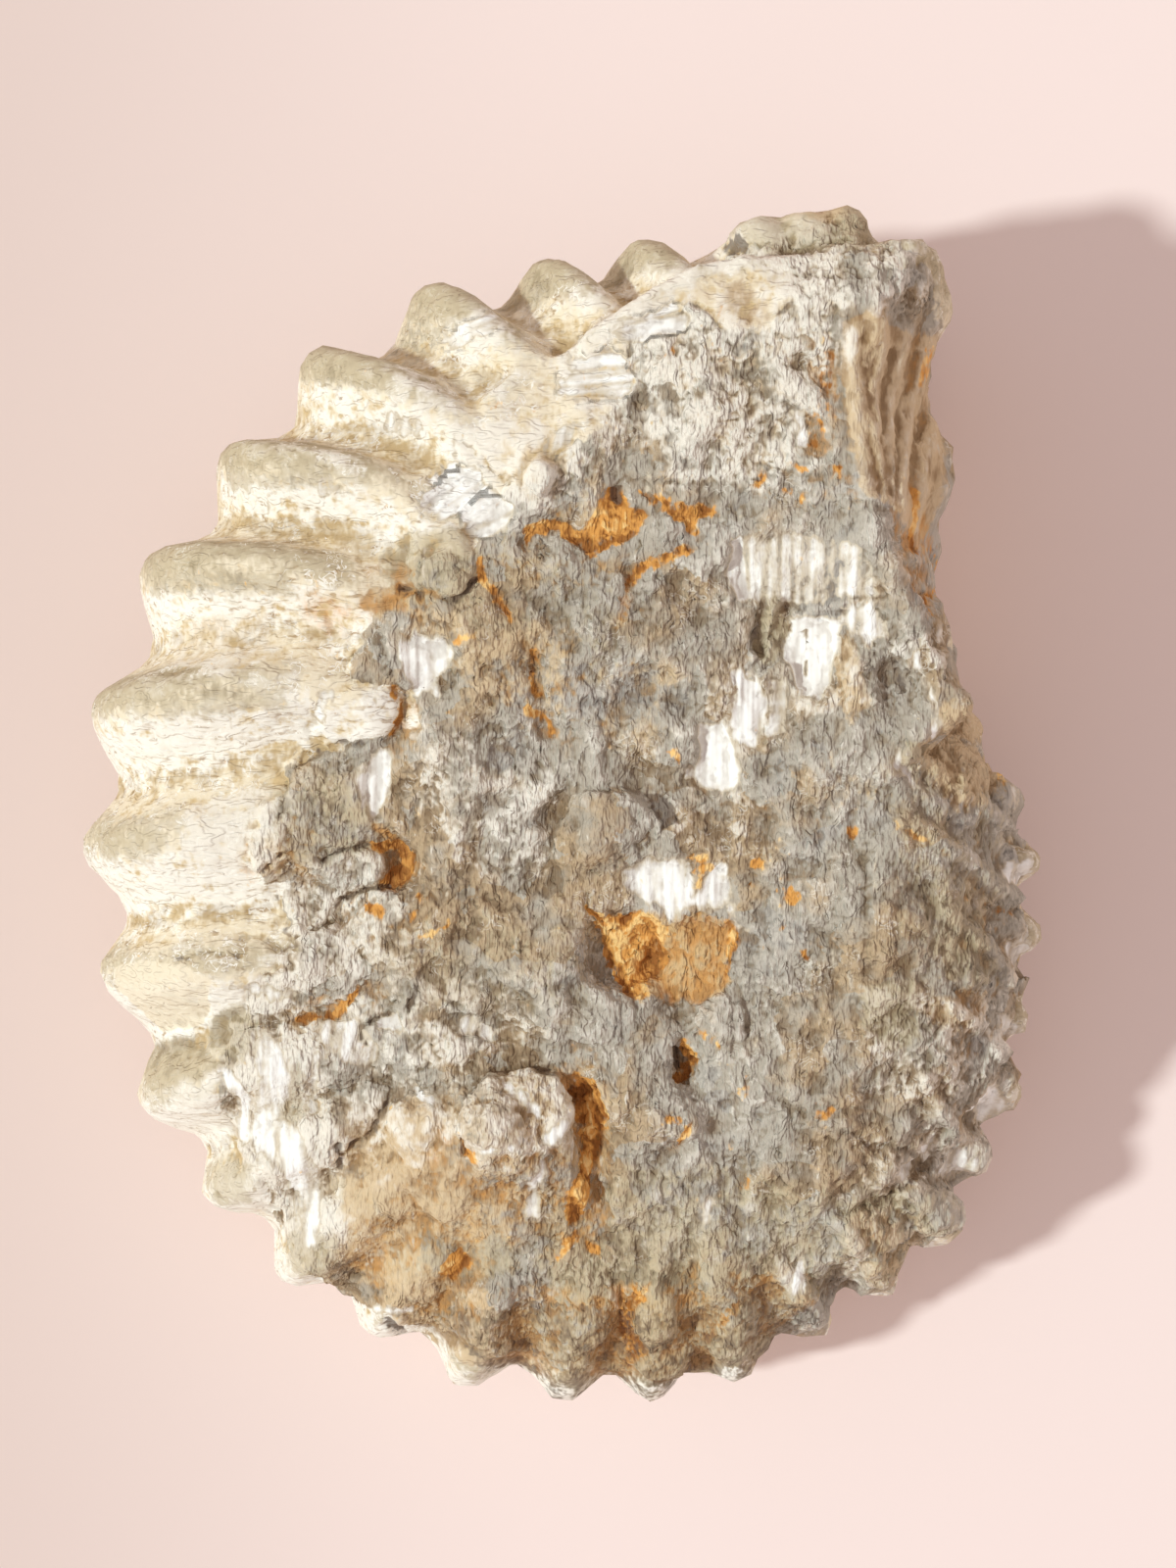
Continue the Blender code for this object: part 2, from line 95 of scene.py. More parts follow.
# White shell scars: x, y, half length, half width, turn, depth, strength, direction of the fibres if unusual
chalk = [
    (-11.5, 63, 3.8, 1.7, 20, 0.2, 0.6, 20), (-14, 41.5, 4, 1.9, 36, 0.5, 0.9, 36),
    (-9.5, 38.5, 3.8, 2, 30, 0.4, 0.85, 30), (4.5, 56.5, 4.8, 3, 15, 0.2, 0.7, 5),
    (1.5, 57, 1.8, 3.8, 10, 0.2, 0.5, 5), (12, 63.5, 4.3, 1.5, 15, 0.3, 0.7, 15),
    (-21.5, 51, 2.8, 1.7, -20, 0.1, 0.5), (-30.5, 42, 2.3, 1.5, -10, 0.1, 0.5),
    (47.5, -45.5, 4.2, 0.7, 55, 0.3, 0.85), (44.5, 6, 2.7, 0.6, -60, 0.3, 0.8),
    (61.5, -8.5, 2.5, 1.7, -60, 0, 0.8), (61, -18.5, 2.2, 1.6, -60, 0, 0.8), (60, 3, 4.5, 1.2, 102, 0, 0.6),
    (59.5, -28.5, 2.4, 1.4, -50, 0, 0.6), (57, -39, 2.4, 1.5, 45, 0, 0.75), (52.5, -47.5, 2.4, 1.5, 45, 0, 0.7),
    (38.5, -60.5, 3.3, 0.8, 75, 0, 0.6), (31, -62, 3.7, 1, 75, 0, 0.7), (19, -52, 2.3, 1.2, 70, 0.2, 0.6),
    (-28, -29.5, 3.9, 2.6, -30, 0.1, 0.6), (-23, -26.9, 1.2, 1.4, 0, 0.2, 0.85),
    (-11.5, -28, 2.7, 1.7, -10, 0.2, 0.6), (-18, -37.5, 3, 0.8, -40, 0.2, 0.8),
    (36.1, 11.7, 1.5, 0.8, 60, 0.2, 0.4), (-0.5, 48, 2.5, 1.1, 30, 0.2, 0.6), (-28.2, -6.2, 1, 0.6, 0, 0.1, 0.5),
    (8.4, -40.4, 1.2, 0.9, 0, 0.2, 0.3),
]

# Tan clay stains: x, y, half length, half width, turn, strength
tan = [
    (-17, -48, 12.9, 9.8, 15, 0.65), (51, 6, 5.7, 3.4, -50, 0.8), (24, 64.5, 3.8, 2.3, 0, 0.7),
    (-7, 19.5, 5.8, 4.8, 20, 0.6), (10, 15, 5.4, 5.9, 0, 0.4), (-12.5, -68, 14.4, 5, -25, 0.7),
    (16.5, -72, 19.8, 5.5, 5, 0.3), (56.5, -15.5, 7.8, 22.2, 0, 0.15), (51.5, -25.5, 4.4, 3.1, 20, 0.7),
    (-2, 22.5, 3.8, 3.3, 0, 0.5), (3, 41.5, 3.8, 3.8, 0, 0.4), (43, -57, 6.3, 5.2, 0, 0.5),
    (29.5, -63, 3.4, 4.5, 0, 0.45), (4.5, -36.5, 2.1, 1.8, 0, 0.7), (39, 3, 7.7, 3.8, -20, 0.25),
    (-13.5, -5, 3.8, 6.4, 0, 0.2), (32.5, 79.5, 8.3, 2.7, 5, 0.5),
]

# Ochre that has soaked in: x, y, half length, half width, turn, strength
stains = [
    (-2, 35, 12, 5, -5, 0.35), (15, -18, 6, 6, 0, 0.35), (2, -45, 4, 11, 0, 0.55), (-13, -50, 12, 8, 20, 0.45),
    (8, -70, 9, 6, 0, 0.7), (21, -67, 5, 6, 0, 0.5), (-21, 11, 3, 4, 0, 0.45), (-37, -5, 5, 4, 0, 0.4),
    (-30, -25, 6, 3, 20, 0.4), (-25, 28, 8, 4, 0, 0.5), (24, -6, 12, 14, 0, 0.2), (32, 43, 7, 3, 0, 0.35),
    (46, 34, 3, 8, 10, 0.6), (33, 54, 2, 8, 0, 0.5), (47, 57, 2, 5, 0, 0.4), (56, -20, 5, 15, 0, 0.25),
    (-23, -12, 7, 4, 20, 0.35), (-3, 16, 5, 6, 0, 0.35), (-16, -62, 7, 5, 0, 0.45), (-6, 62, 10, 4, 20, 0.15),
]

# Pale bloom: x, y, half length, half width, turn, strength
bloom = [
    (11, 60, 13, 8, 10, 0.52), (21, 53, 10, 6, 0, 0.44), (-30, -14, 9, 7, 0, 0.4), (-12, 57, 12, 6, 40, 0.44),
    (-46, 9, 12, 14, 0, 0.32), (-50, -9, 8, 8, 0, 0.32), (-33, -34, 14, 9, -20, 0.4), (-17, -27, 12, 6, 0, 0.36),
    (-41, -46, 6, 13, 30, 0.48), (-8, -36, 8, 5, 0, 0.32), (48, -48, 6, 8, -40, 0.28), (-32, 44, 8, 4, 0, 0.28),
    (27, 71, 8, 6, 0, 0.64), (40, 70, 8, 4, 0, 0.32), (-1, 50, 8, 6, 20, 0.36), (30, 22, 12, 9, 0, 0.24),
    (18, 5, 6, 9, 0, 0.24), (61, -14, 4, 12, 0, 0.24), (55, -43, 6, 8, 45, 0.32),
]

# Olive film: x, y, half length, half width, turn, strength
olives = [
    (47, -36, 9, 14, 0, 0.15), (51, -2, 8, 12, 0, 0.35), (17, -56, 18, 7, 0, 0.45), (-10, -19, 14, 6, 0, 0.3),
    (-4, 25, 10, 10, 0, 0.3), (-32, 0, 7, 6, 0, 0.4), (36, 76, 10, 1.8, -5, 0.8), (-17, 32, 5, 4, 0, 0.6),
    (43, -56, 6, 5, 0, 0.6), (-36, 64, 9, 4, 30, 0.45), (-2, 73, 18, 4, 12, 0.75), (-20, 66, 9, 5, 30, 0.4),
    (54, -18, 6, 14, 0, 0.2),
]

# Plates that stand proud (or, below nought, have fallen out): x, y, half length, half width, turn, height
plates = [
    (-3, 44, 1.9, 1.9, 0, 1.1), (43, -56.5, 5.8, 4.5, 10, 1), (13, -41, 3.4, 2.1, 10, 0.9),
    (3.5, -36, 1.8, 2.3, 80, 0.9), (4, 9, 2.6, 1.5, 80, 0.6), (4.5, -1, 5.6, 3.3, 10, 1),
    (8.5, 24.5, 7.1, 5.6, 30, 0.7), (16, 34.5, 6.3, 3.3, 10, 0.6), (0, 0, 1.8, 4.4, 100, -1),
    (32.5, 17, 7.7, 8.9, 0, -0.6), (-2, 29.5, 1.8, 4.8, 12, -0.8), (-13.5, 9, 7.6, 5.6, 0, 0.6),
    (-6, -16.5, 8, 3.9, -20, 0.8), (-11, -23, 7.7, 2.6, -25, -0.8), (35.5, -15, 10.3, 7.7, 30, 0.5),
    (29, 0.5, 7.7, 5.6, 0, 0.5), (38, -38.5, 9, 3.9, 20, -0.6), (11, -47.5, 4.7, 7.8, 10, -0.6),
    (16, -60, 3.9, 6.5, 0, 0.6), (26.5, -45, 4.7, 7.8, -10, 0.5), (-19.5, 24.5, 2.3, 5.1, 60, -0.7),
    (16, 48.5, 8.8, 5, 5, 0.5), (28.5, 52, 6.3, 7.6, 0, -0.4), (43, -50, 6.5, 1.3, 32, -1),
    (3, -12.5, 7.7, 1, -10, 0.6), (21.5, -27, 3.9, 3.1, 0, 0.5),
]

# Dark hollows, painted shade in them and under the crust ledge: x, y, half length, half width, turn, strength
dark = [
    (23.5, 74.5, 1.7, 0.9, -5, 1), (-1.5, -47, 2.1, 0.8, 45, 0.4),
]

# Outlines that two marks share, in tenths too
clayPocket = (-258, 292, -228, 297, -206, 293, -190, 287, -199, 269, -222, 259, -250, 254, -260, 269)
leftBlock = (-312, -62, -295, -47, -263, -40, -238, -46, -228, -62, -238, -82, -261, -93, -292, -98, -309, -82)
lowBlock = (-125, -381, -97, -345, -45, -335, -7, -345, 10, -379, 6, -410, -20, -442, -58, -446, -103, -440, -125,
    -411)
topBlock = (-49, 447, -30, 465, -8, 454, -6, 429, -24, 417, -44, 424)
post = (268, 289, 282, 289, 285, 245, 279, 214, 264, 201, 257, 245)

# Marks laid in this order: kind, strength, height (below nought, depth), half width of a line or 0 for an
# outline, then its points in tenths. Bare ones change the shape alone.
# dark marks are painted shade: in cracks, hollows and grooves and at the feet of raised blocks
marks = [
    # top and middle
    ("rust", 0.9, -0.5, 0, 0, 364, 32, 377, 45, 408, 60, 426, 78, 420, 95, 402, 110, 393, 102, 370, 83, 350, 38,
     338, 19, 345),
    ("rust", 0.95, -0.4, 0, -59, 351, -50, 370, -25, 383, 4, 380, 22, 358, 17, 349, -6, 360, -34, 358, -53, 345),
    ("rust", 0.9, -0.4, 0, 98, 418, 121, 413, 159, 402, 194, 398, 203, 393, 174, 383, 175, 364, 162, 363, 146, 376,
     127, 389),
    ("dark", 0.9, -0.8, 0.7, 72, 420, 72, 405),
    ("rust", 0.8, -0.4, 0.7, 161, 342, 133, 332, 102, 316, 85, 300),
    ("stain", 0.8, -0.4, 0.7, 85, 300, 78, 276, 73, 251),
    ("rust", 0.95, -0.4, 0.5, -111, 327, -105, 299),
    ("rust", 0.95, -0.4, 0.4, -91, 292, -79, 274, -67, 259),
    ("dark", 0.42, -0.4, 0.5, -19, 345, 4, 320, 13, 282),
    ("rust", 0.8, -0.3, 0.5, -38, 213, -43, 181, -34, 162),
    ("rust", 0.95, -0.3, 0.7, -44, 137, -25, 130, -13, 111),
    ("bare", 0, 0.7, 0, -196, 358, -189, 376, -158, 382, -132, 360, -113, 325, -122, 296, -142, 281, -170, 286,
     -190, 297, -199, 326),
    ("tan", 1, -0.4, 0, *clayPocket),
    ("dark", 0.95, -1.2, 0.29, -206, 293, -183, 284, -151, 276, -132, 284, -117, 302),
    ("tan", 0.6, 0.7, 0, -215, 244, -196, 267, -151, 271, -126, 259, -108, 231, -120, 221, -152, 234, -184, 229),
    ("rust", 0.7, -0.2, 0.4, -135, 229, -110, 234),
    ("chalk", 0.93, 0.2, 0, -215, 225, -190, 238, -152, 231, -139, 216, -144, 194, -162, 181, -159, 156, -191, 153,
     -200, 175, -212, 187),
    ("dark", 0.5, -0.5, 0.4, -241, 244, -235, 212, -225, 187),
    ("bare", 0, 1, 0, -326, 111, -305, 149, -273, 166, -229, 168, -212, 153, -210, 130, -228, 110, -262, 102, -301,
     95),
    ("chalk", 0.83, 0, 0.9, -301, 158, -317, 128),
    ("rust", 0.95, -0.5, 0.5, -224, 163, -210, 148, -211, 129, -226, 107),
    ("dark", 0.7, -0.6, 0.26, -217, 171, -200, 154, -205, 124, -218, 105),
    ("dark", 0.55, -0.8, 0.26, -372, -4, -362, 35, -352, 60, -333, 82, -301, 93, -259, 101),
    ("chalk", 1, -0.4, 0, -267, 69, -252, 86, -230, 90, -222, 73, -229, 41, -240, 5, -262, 13, -267, 41),
    ("tan", 1, 0.9, 0, -410, -59, -396, -38, -370, -23, -363, -42, -372, -68, -392, -78, -404, -77),
    ("dark", 0.8, -0.8, 0.2, -402, -78, -388, -64, -378, -51, -366, -46),
    ("bare", 0, 0.9, 0, *leftBlock),
    ("dark", 0.8, -0.9, 0.29, -313, -56, -289, -44, -257, -36),
    ("dark", 0.9, -1, 0.29, -229, -85, -261, -98, -290, -108),
    ("rust", 1, -0.6, 0.8, -243, -37, -217, -37, -209, -50, -215, -70, -230, -82),
    ("stain", 0.9, -0.3, 0.8, -244, -8, -225, -21),
    ("rust", 0.95, -0.2, 0.6, -255, -116, -235, -123),
    ("rust", 0.7, -0.4, 0.5, -185, -99, -190, -119, -201, -133),
    ("rust", 0.95, -0.2, 0.4, -192, -154, -173, -151, -150, -138),
    ("dark", 0.42, -0.8, 0.24, -296, -110, -303, -133, -322, -150, -344, -160),
    ("dark", 0.5, -0.6, 0.26, -199, -42, -188, -68, -176, -87),
    # lower left
    ("dark", 0.35, -0.5, 0.5, -425, -161, -393, -158, -369, -175, -357, -198),
    ("dark", 0.5, -0.5, 0.4, -496, -188, -464, -180, -424, -185),
    ("plain", 1, -0.3, 0, -599, -201, -537, -194, -490, -197, -463, -216, -465, -250, -477, -277, -505, -291, -545,
     -290, -570, -260),
    ("dark", 0.85, -1, 0.21, -258, -302, -265, -284, -246, -265, -215, -245),
    ("dark", 0.8, -0.6, 0.31, -193, -226, -200, -253),
    ("rust", 1, -0.4, 0.5, -273, -230, -294, -256, -317, -265, -345, -269),
    ("olive", 0.9, 0.5, 0, -468, -270, -426, -246, -398, -270, -402, -305, -436, -327, -469, -309),
    ("bare", 0, 1.2, 0, *lowBlock),
    ("dark", 0.42, -0.6, 0.21, -97, -342, -45, -330, -9, -335, 9, -357, 16, -393),
    ("chalk", 0.93, 0, 0.5, -75, -357, -39, -386),
    ("chalk", 0.93, 0, 0.8, -19, -422, -4, -410),
    ("chalk", 0.83, 0, 0.5, -109, -436, -77, -430),
    ("chalk", 0.95, 0, 0.6, -25, -455, -38, -481, -42, -522),
    ("tan", 0.9, 0.9, 0, -264, -436, -227, -383, -175, -369, -158, -397, -174, -429, -227, -449, -254, -455),
    ("tan", 1, 0.6, 0, -260, -468, -200, -452, -135, -461, -123, -508, -163, -557, -216, -562, -247, -517),
    ("dark", 0.7, -0.8, 0.26, -299, -452, -279, -432, -253, -412, -233, -373, -224, -331),
    ("dark", 0.8, -0.6, 0.4, -297, -431, -296, -466),
    ("dark", 0.42, -0.9, 0.4, -121, -365, -131, -396, -125, -441),
    ("rust", 0.95, -0.4, 0.5, -127, -429, -112, -449),
    ("chalk", 0.7, 0.1, 0.7, -391, -293, -396, -346, -390, -401, -408, -434),
    ("chalk", 0.8, 0.1, 0.8, -377, -433, -340, -444, -344, -501, -331, -572),
    ("chalk", 0.85, 0, 0.4, -321, -317, -333, -354, -328, -400),
    ("chalk", 0.88, 0, 0.8, -449, -340, -419, -374, -428, -423),
    ("chalk", 0.73, 0, 0.8, -425, -220, -355, -230),
    ("rust", 1, -0.7, 0, 14, -341, 45, -343, 55, -398, 45, -440, 32, -479, 22, -538, 6, -544, -2, -524, 13, -465,
     20, -413, 11, -373),
    ("rust", 0.85, -0.2, 0.7, 16, -552, -7, -586),
    ("rust", 0.8, -0.3, 0.5, 32, -568, 45, -579),
    ("rust", 0.95, -0.4, 0, -164, -611, -157, -584, -135, -574, -123, -592, -145, -621),
    ("dark", 0.9, -0.8, 0.5, -236, -676, -223, -699),
    ("chalk", 0.93, 0, 0.4, -251, -663, -204, -665),
    # the broken mouth
    ("ridge", 0.6, 0.9, 0.9, 369, 613, 376, 545, 381, 469, 395, 413),
    ("ridge", 0.6, 0.9, 0.8, 413, 670, 405, 584, 395, 495, 409, 414),
    ("ridge", 0.6, 0.9, 0.8, 444, 625, 428, 549, 416, 484, 423, 403),
    ("ridge", 0.6, 0.9, 0.9, 476, 617, 453, 539, 441, 460, 436, 384),
    ("ridge", 0.6, 0.8, 0.9, 505, 560, 473, 463, 456, 386, 461, 335),
    # painted shade in the grooves between the ridges
    ("dark", 0.28, -0.4, 0.5, 388, 613, 386, 545, 391, 469, 402, 420),
    ("dark", 0.28, -0.4, 0.5, 424, 604, 416, 547, 407, 483, 414, 421),
    ("dark", 0.28, -0.4, 0.5, 459, 602, 441, 537, 428, 472, 429, 409),
    ("dark", 0.28, -0.4, 0.5, 498, 567, 461, 488, 450, 423),
    ("rust", 0.9, -0.3, 0.5, 455, 423, 451, 373, 456, 345),
    ("rust", 0.8, -0.2, 0.5, 481, 348, 501, 321, 476, 282),
    ("rust", 0.7, 0, 0.4, 475, 617, 464, 563),
    ("rust", 0.55, -0.3, 0, 331, 601, 346, 607, 349, 570, 341, 520, 332, 476, 316, 472, 315, 513, 324, 557),
    ("chalk", 0.73, 0, 0.5, 350, 607, 342, 551),
    ("chalk", 0.83, 0, 0.5, 301, 519, 312, 482),
    ("chalk", 0.6, -0.6, 0, 214, 360, 232, 364, 285, 366, 348, 357, 392, 353, 405, 326, 403, 295, 419, 279, 362,
     280, 306, 273, 274, 289, 238, 280, 216, 295),
    ("chalk", 1, -0.1, 0, 214, 360, 232, 364, 238, 321, 242, 283, 220, 279, 212, 308),
    ("dark", 0.42, -0.6, 0.33, 405, 349, 402, 309, 419, 284),
    ("olive", 1, -0.3, 0, 268, 296, 281, 296, 287, 245, 281, 210, 263, 194, 251, 220, 259, 258),
    ("dark", 0.42, -0.6, 0.4, 289, 274, 325, 268, 370, 263),
    ("chalk", 1, -0.4, 0, 296, 258, 342, 260, 363, 250, 349, 199, 339, 149, 313, 153, 300, 174, 288, 204),
    ("dark", 0.35, -0.5, 0.26, 320, 242, 316, 182),
    ("tan", 0.8, 0.4, 0, 350, 245, 375, 238, 389, 181, 397, 143, 379, 117, 357, 143, 351, 194),
    ("dark", 0.3, -0.4, 0, 420, 207, 446, 214, 456, 181, 442, 161, 421, 179),
    ("chalk", 0.95, 0.3, 0.4, 458, 213, 472, 181, 488, 143, 478, 111),
    ("chalk", 1, -0.4, 0, 224, 186, 249, 196, 264, 146, 254, 87, 218, 95, 219, 140),
    ("chalk", 0.8, -0.4, 1.1, 281, 172, 276, 115),
    ("chalk", 1, -0.4, 0, 173, 120, 209, 129, 226, 85, 224, 36, 196, 31, 158, 44, 178, 76),
    # middle of the rock
    ("chalk", 0.9, -0.4, 0, 79, -74, 115, -53, 160, -55, 205, -64, 214, -94, 207, -120, 160, -120, 148, -133, 128,
     -120, 96, -109),
    ("chalk", 1, -0.2, 0.5, 212, -68, 216, -107, 225, -139, 241, -159),
    ("rust", 0.6, 0, 0, 163, -51, 188, -46, 196, -68, 186, -94, 171, -107, 168, -81),
    ("rust", 1, -0.5, 0, 32, -119, 51, -133, 96, -126, 119, -137, 125, -159, 107, -199, 99, -230, 84, -233, 71,
     -205, 60, -179, 38, -146),
    ("dark", 0.35, -0.4, 0.33, 33, -121, 58, -143, 90, -133),
    ("tan", 0.9, -0.5, 0, 125, -139, 225, -146, 228, -217, 206, -243, 161, -246, 116, -218),
    ("stain", 0.9, 0.3, 0.5, 220, -159, 213, -230),
    ("dark", 0.4, -0.7, 0, 232, -152, 259, -159, 259, -204, 250, -269, 242, -294, 235, -256, 229, -204),
    ("dark", 0.55, -0.5, 0.18, 235, -236, 244, -271, 243, -299),
    ("dark", 0.85, -0.6, 0, 102, 26, 122, 28, 142, 10, 146, -10, 128, -14, 111, 5),
    ("dark", 0.42, -0.5, 0.2, 129, -13, 132, -31),
    ("rust", 0.95, -0.2, 0.31, 182, -285, 207, -310),
    ("rust", 0.95, -0.5, 0.6, 155, -298, 168, -322, 167, -346, 146, -353),
    ("dark", 0.8, -1.2, 0.8, 142, -305, 149, -329),
    ("rust", 0.9, -0.4, 0.5, 139, -398, 157, -406, 151, -427),
    ("dark", 0.42, -0.6, 0.26, 376, -440, 408, -436, 455, -443, 489, -471),
    ("dark", 0.5, -0.7, 0.26, 360, -532, 396, -521, 444, -501, 485, -474),
    # ribs and bays at the right-hand edge
    ("bare", 0, 0.9, 1, 454, 77, 530, 25, 600, -25),
    ("bare", 0, 0.9, 1, 462, -13, 538, -65, 596, -110),
    ("bare", 0, 0.9, 1, 503, -133, 566, -183, 608, -244),
    ("bare", 0, 0.9, 1, 511, -246, 563, -300, 601, -353),
    ("bare", 0, 0.9, 1, 473, -348, 517, -411, 551, -460),
    ("bare", 0, 1, 1.2, 429, -466, 485, -521, 522, -555),
    ("bare", 0, 1, 1.2, 357, -538, 406, -595, 442, -636),
    ("bare", 0, 1, 1.2, 291, -600, 324, -650, 351, -695),
    ("bloom", 0.8, -0.9, 1.1, 583, -63, 631, -99),
    ("bloom", 0.8, -0.9, 1.1, 590, -171, 625, -205),
    ("bloom", 0.7, -0.4, 0.4, 576, -210, 572, -274),
    ("bloom", 1.1, -0.9, 0.9, 561, -293, 605, -307),
    ("bloom", 0.8, -1.1, 1.1, 548, -415, 579, -381),
    ("bloom", 0.8, -1.1, 0.9, 475, -470, 490, -446, 493, -416),
    ("bloom", 0.8, -1.1, 0.9, 515, -495, 527, -457),
    ("bloom", 0.9, -0.8, 0.9, 293, -580, 305, -628),
    ("bloom", 0.8, -0.9, 0.9, 381, -561, 396, -595, 385, -651),
    ("bloom", 0.8, -0.8, 0.9, 458, -536, 479, -570, 469, -605),
    ("tan", 0.9, 0.2, 0, 499, 82, 534, 91, 589, 54, 586, 30, 551, 25, 516, 47),
    ("stain", 0.7, 0, 0.4, 436, -18, 468, -31, 495, -52),
    ("olive", 0.9, -0.3, 0, 433, 102, 483, 90, 538, 41, 567, 18, 530, 22, 475, 54),
    # white and cream fields
    ("bloom", 0.85, 0.3, 0, 0, 579, 32, 599, 82, 596, 98, 546, 64, 518, 19, 520, -3, 546),
    ("chalk", 0.73, 0, 0.7, 19, 539, 82, 552),
    ("chalk", 0.85, -0.3, 0, -183, 431, -151, 456, -117, 443, -69, 404, -64, 382, -107, 357, -126, 372, -158, 410),
    ("chalk", 0.93, -0.2, 0, 82, 627, 108, 644, 163, 648, 158, 626, 108, 613),
    ("bare", 0, 1.1, 0, *topBlock),
    # darker along the lower edge
    ("dark", 0.5, 0, 0, -140, -660, -40, -640, 80, -660, 190, -650, 290, -620, 340, -680, 200, -800, 0, -800, -120,
     -740),
    ("chalk", 0.75, -0.2, 0, 366, 270, 405, 274, 416, 230, 390, 223, 365, 244),
    ("rust", 0.75, 0, 0.8, 216, -135, 226, -170, 218, -210),
    ("rust", 0.8, 0, 0, 35, -120, 105, -125, 140, -145, 125, -200, 105, -250, 70, -230, 46, -175),
    ("dark", 0.5, -0.5, 0.24, -49, 451, -50, 429, -34, 414, -11, 420),
    ("bloom", 0.5, 0, 0.7, -40, -653, 32, -597),
    ("bloom", 0.7, 0, 0.5, 420, 219, 452, 225, 493, 231),
    ("bloom", 0.6, 0, 0.5, 445, 308, 478, 245, 494, 181),
    ("bare", 0, 1.5, 0, 35, -373, 48, -412, 35, -466, 22, -524, 11, -497, 24, -426, 27, -380),
    ("bare", 0, 1.2, 0, 38, -133, 103, -133, 115, -159, 103, -199, 90, -224, 64, -186),
    ("bare", 0, 1.2, 0, *post),
    # films and calmer places
    ("chalk", 0.7, 0.1, 0, -410, -290, -375, -295, -360, -340, -370, -400, -335, -430, -315, -490, -320, -550,
     -345, -550, -365, -490, -400, -450, -425, -430, -405, -360),
    ("bloom", 0.85, 0.1, 0, -440, -270, -330, -280, -310, -360, -290, -450, -290, -570, -360, -580, -400, -490,
     -450, -430, -430, -340),
    ("bare", 0, 0.8, 0, *post),
    ("dark", 0.8, -0.4, 0.26, 428, 209, 438, 182, 449, 161),
    ("dark", 0.7, -0.4, 0.26, 442, 209, 454, 192),
    # open cracks, painted shade in them
    ("dark", 0.52, -0.5, 0.3, 455, -330, 465, -355, 480, -380),
    ("dark", 0.52, -0.5, 0.25, 240, 180, 245, 195, 255, 215),
    ("dark", 0.52, -0.5, 0.4, 220, 790, 190, 780, 165, 730),
    ("dark", 0.52, -0.5, 0.25, 70, -610, 75, -650, 75, -675),
    ("dark", 0.52, -0.5, 0.25, 290, -380, 310, -390, 330, -400),
    ("dark", 0.52, -0.5, 0.25, 285, -465, 295, -485, 305, -495),
    ("dark", 0.52, -0.5, 0.25, 360, -410, 380, -420, 400, -440),
    ("dark", 0.52, -0.5, 0.3, 85, -230, 100, -270, 90, -295),
    ("dark", 0.42, -0.5, 0.25, -20, -45, -10, -75, -25, -100),
    ("dark", 0.42, -0.5, 0.25, -90, 115, -70, 90, -60, 65),
    ("dark", 0.42, -0.5, 0.25, 390, -50, 395, -85, 390, -125),
    ("dark", 0.42, -0.5, 0.25, -130, 485, -105, 460, -70, 430),
]

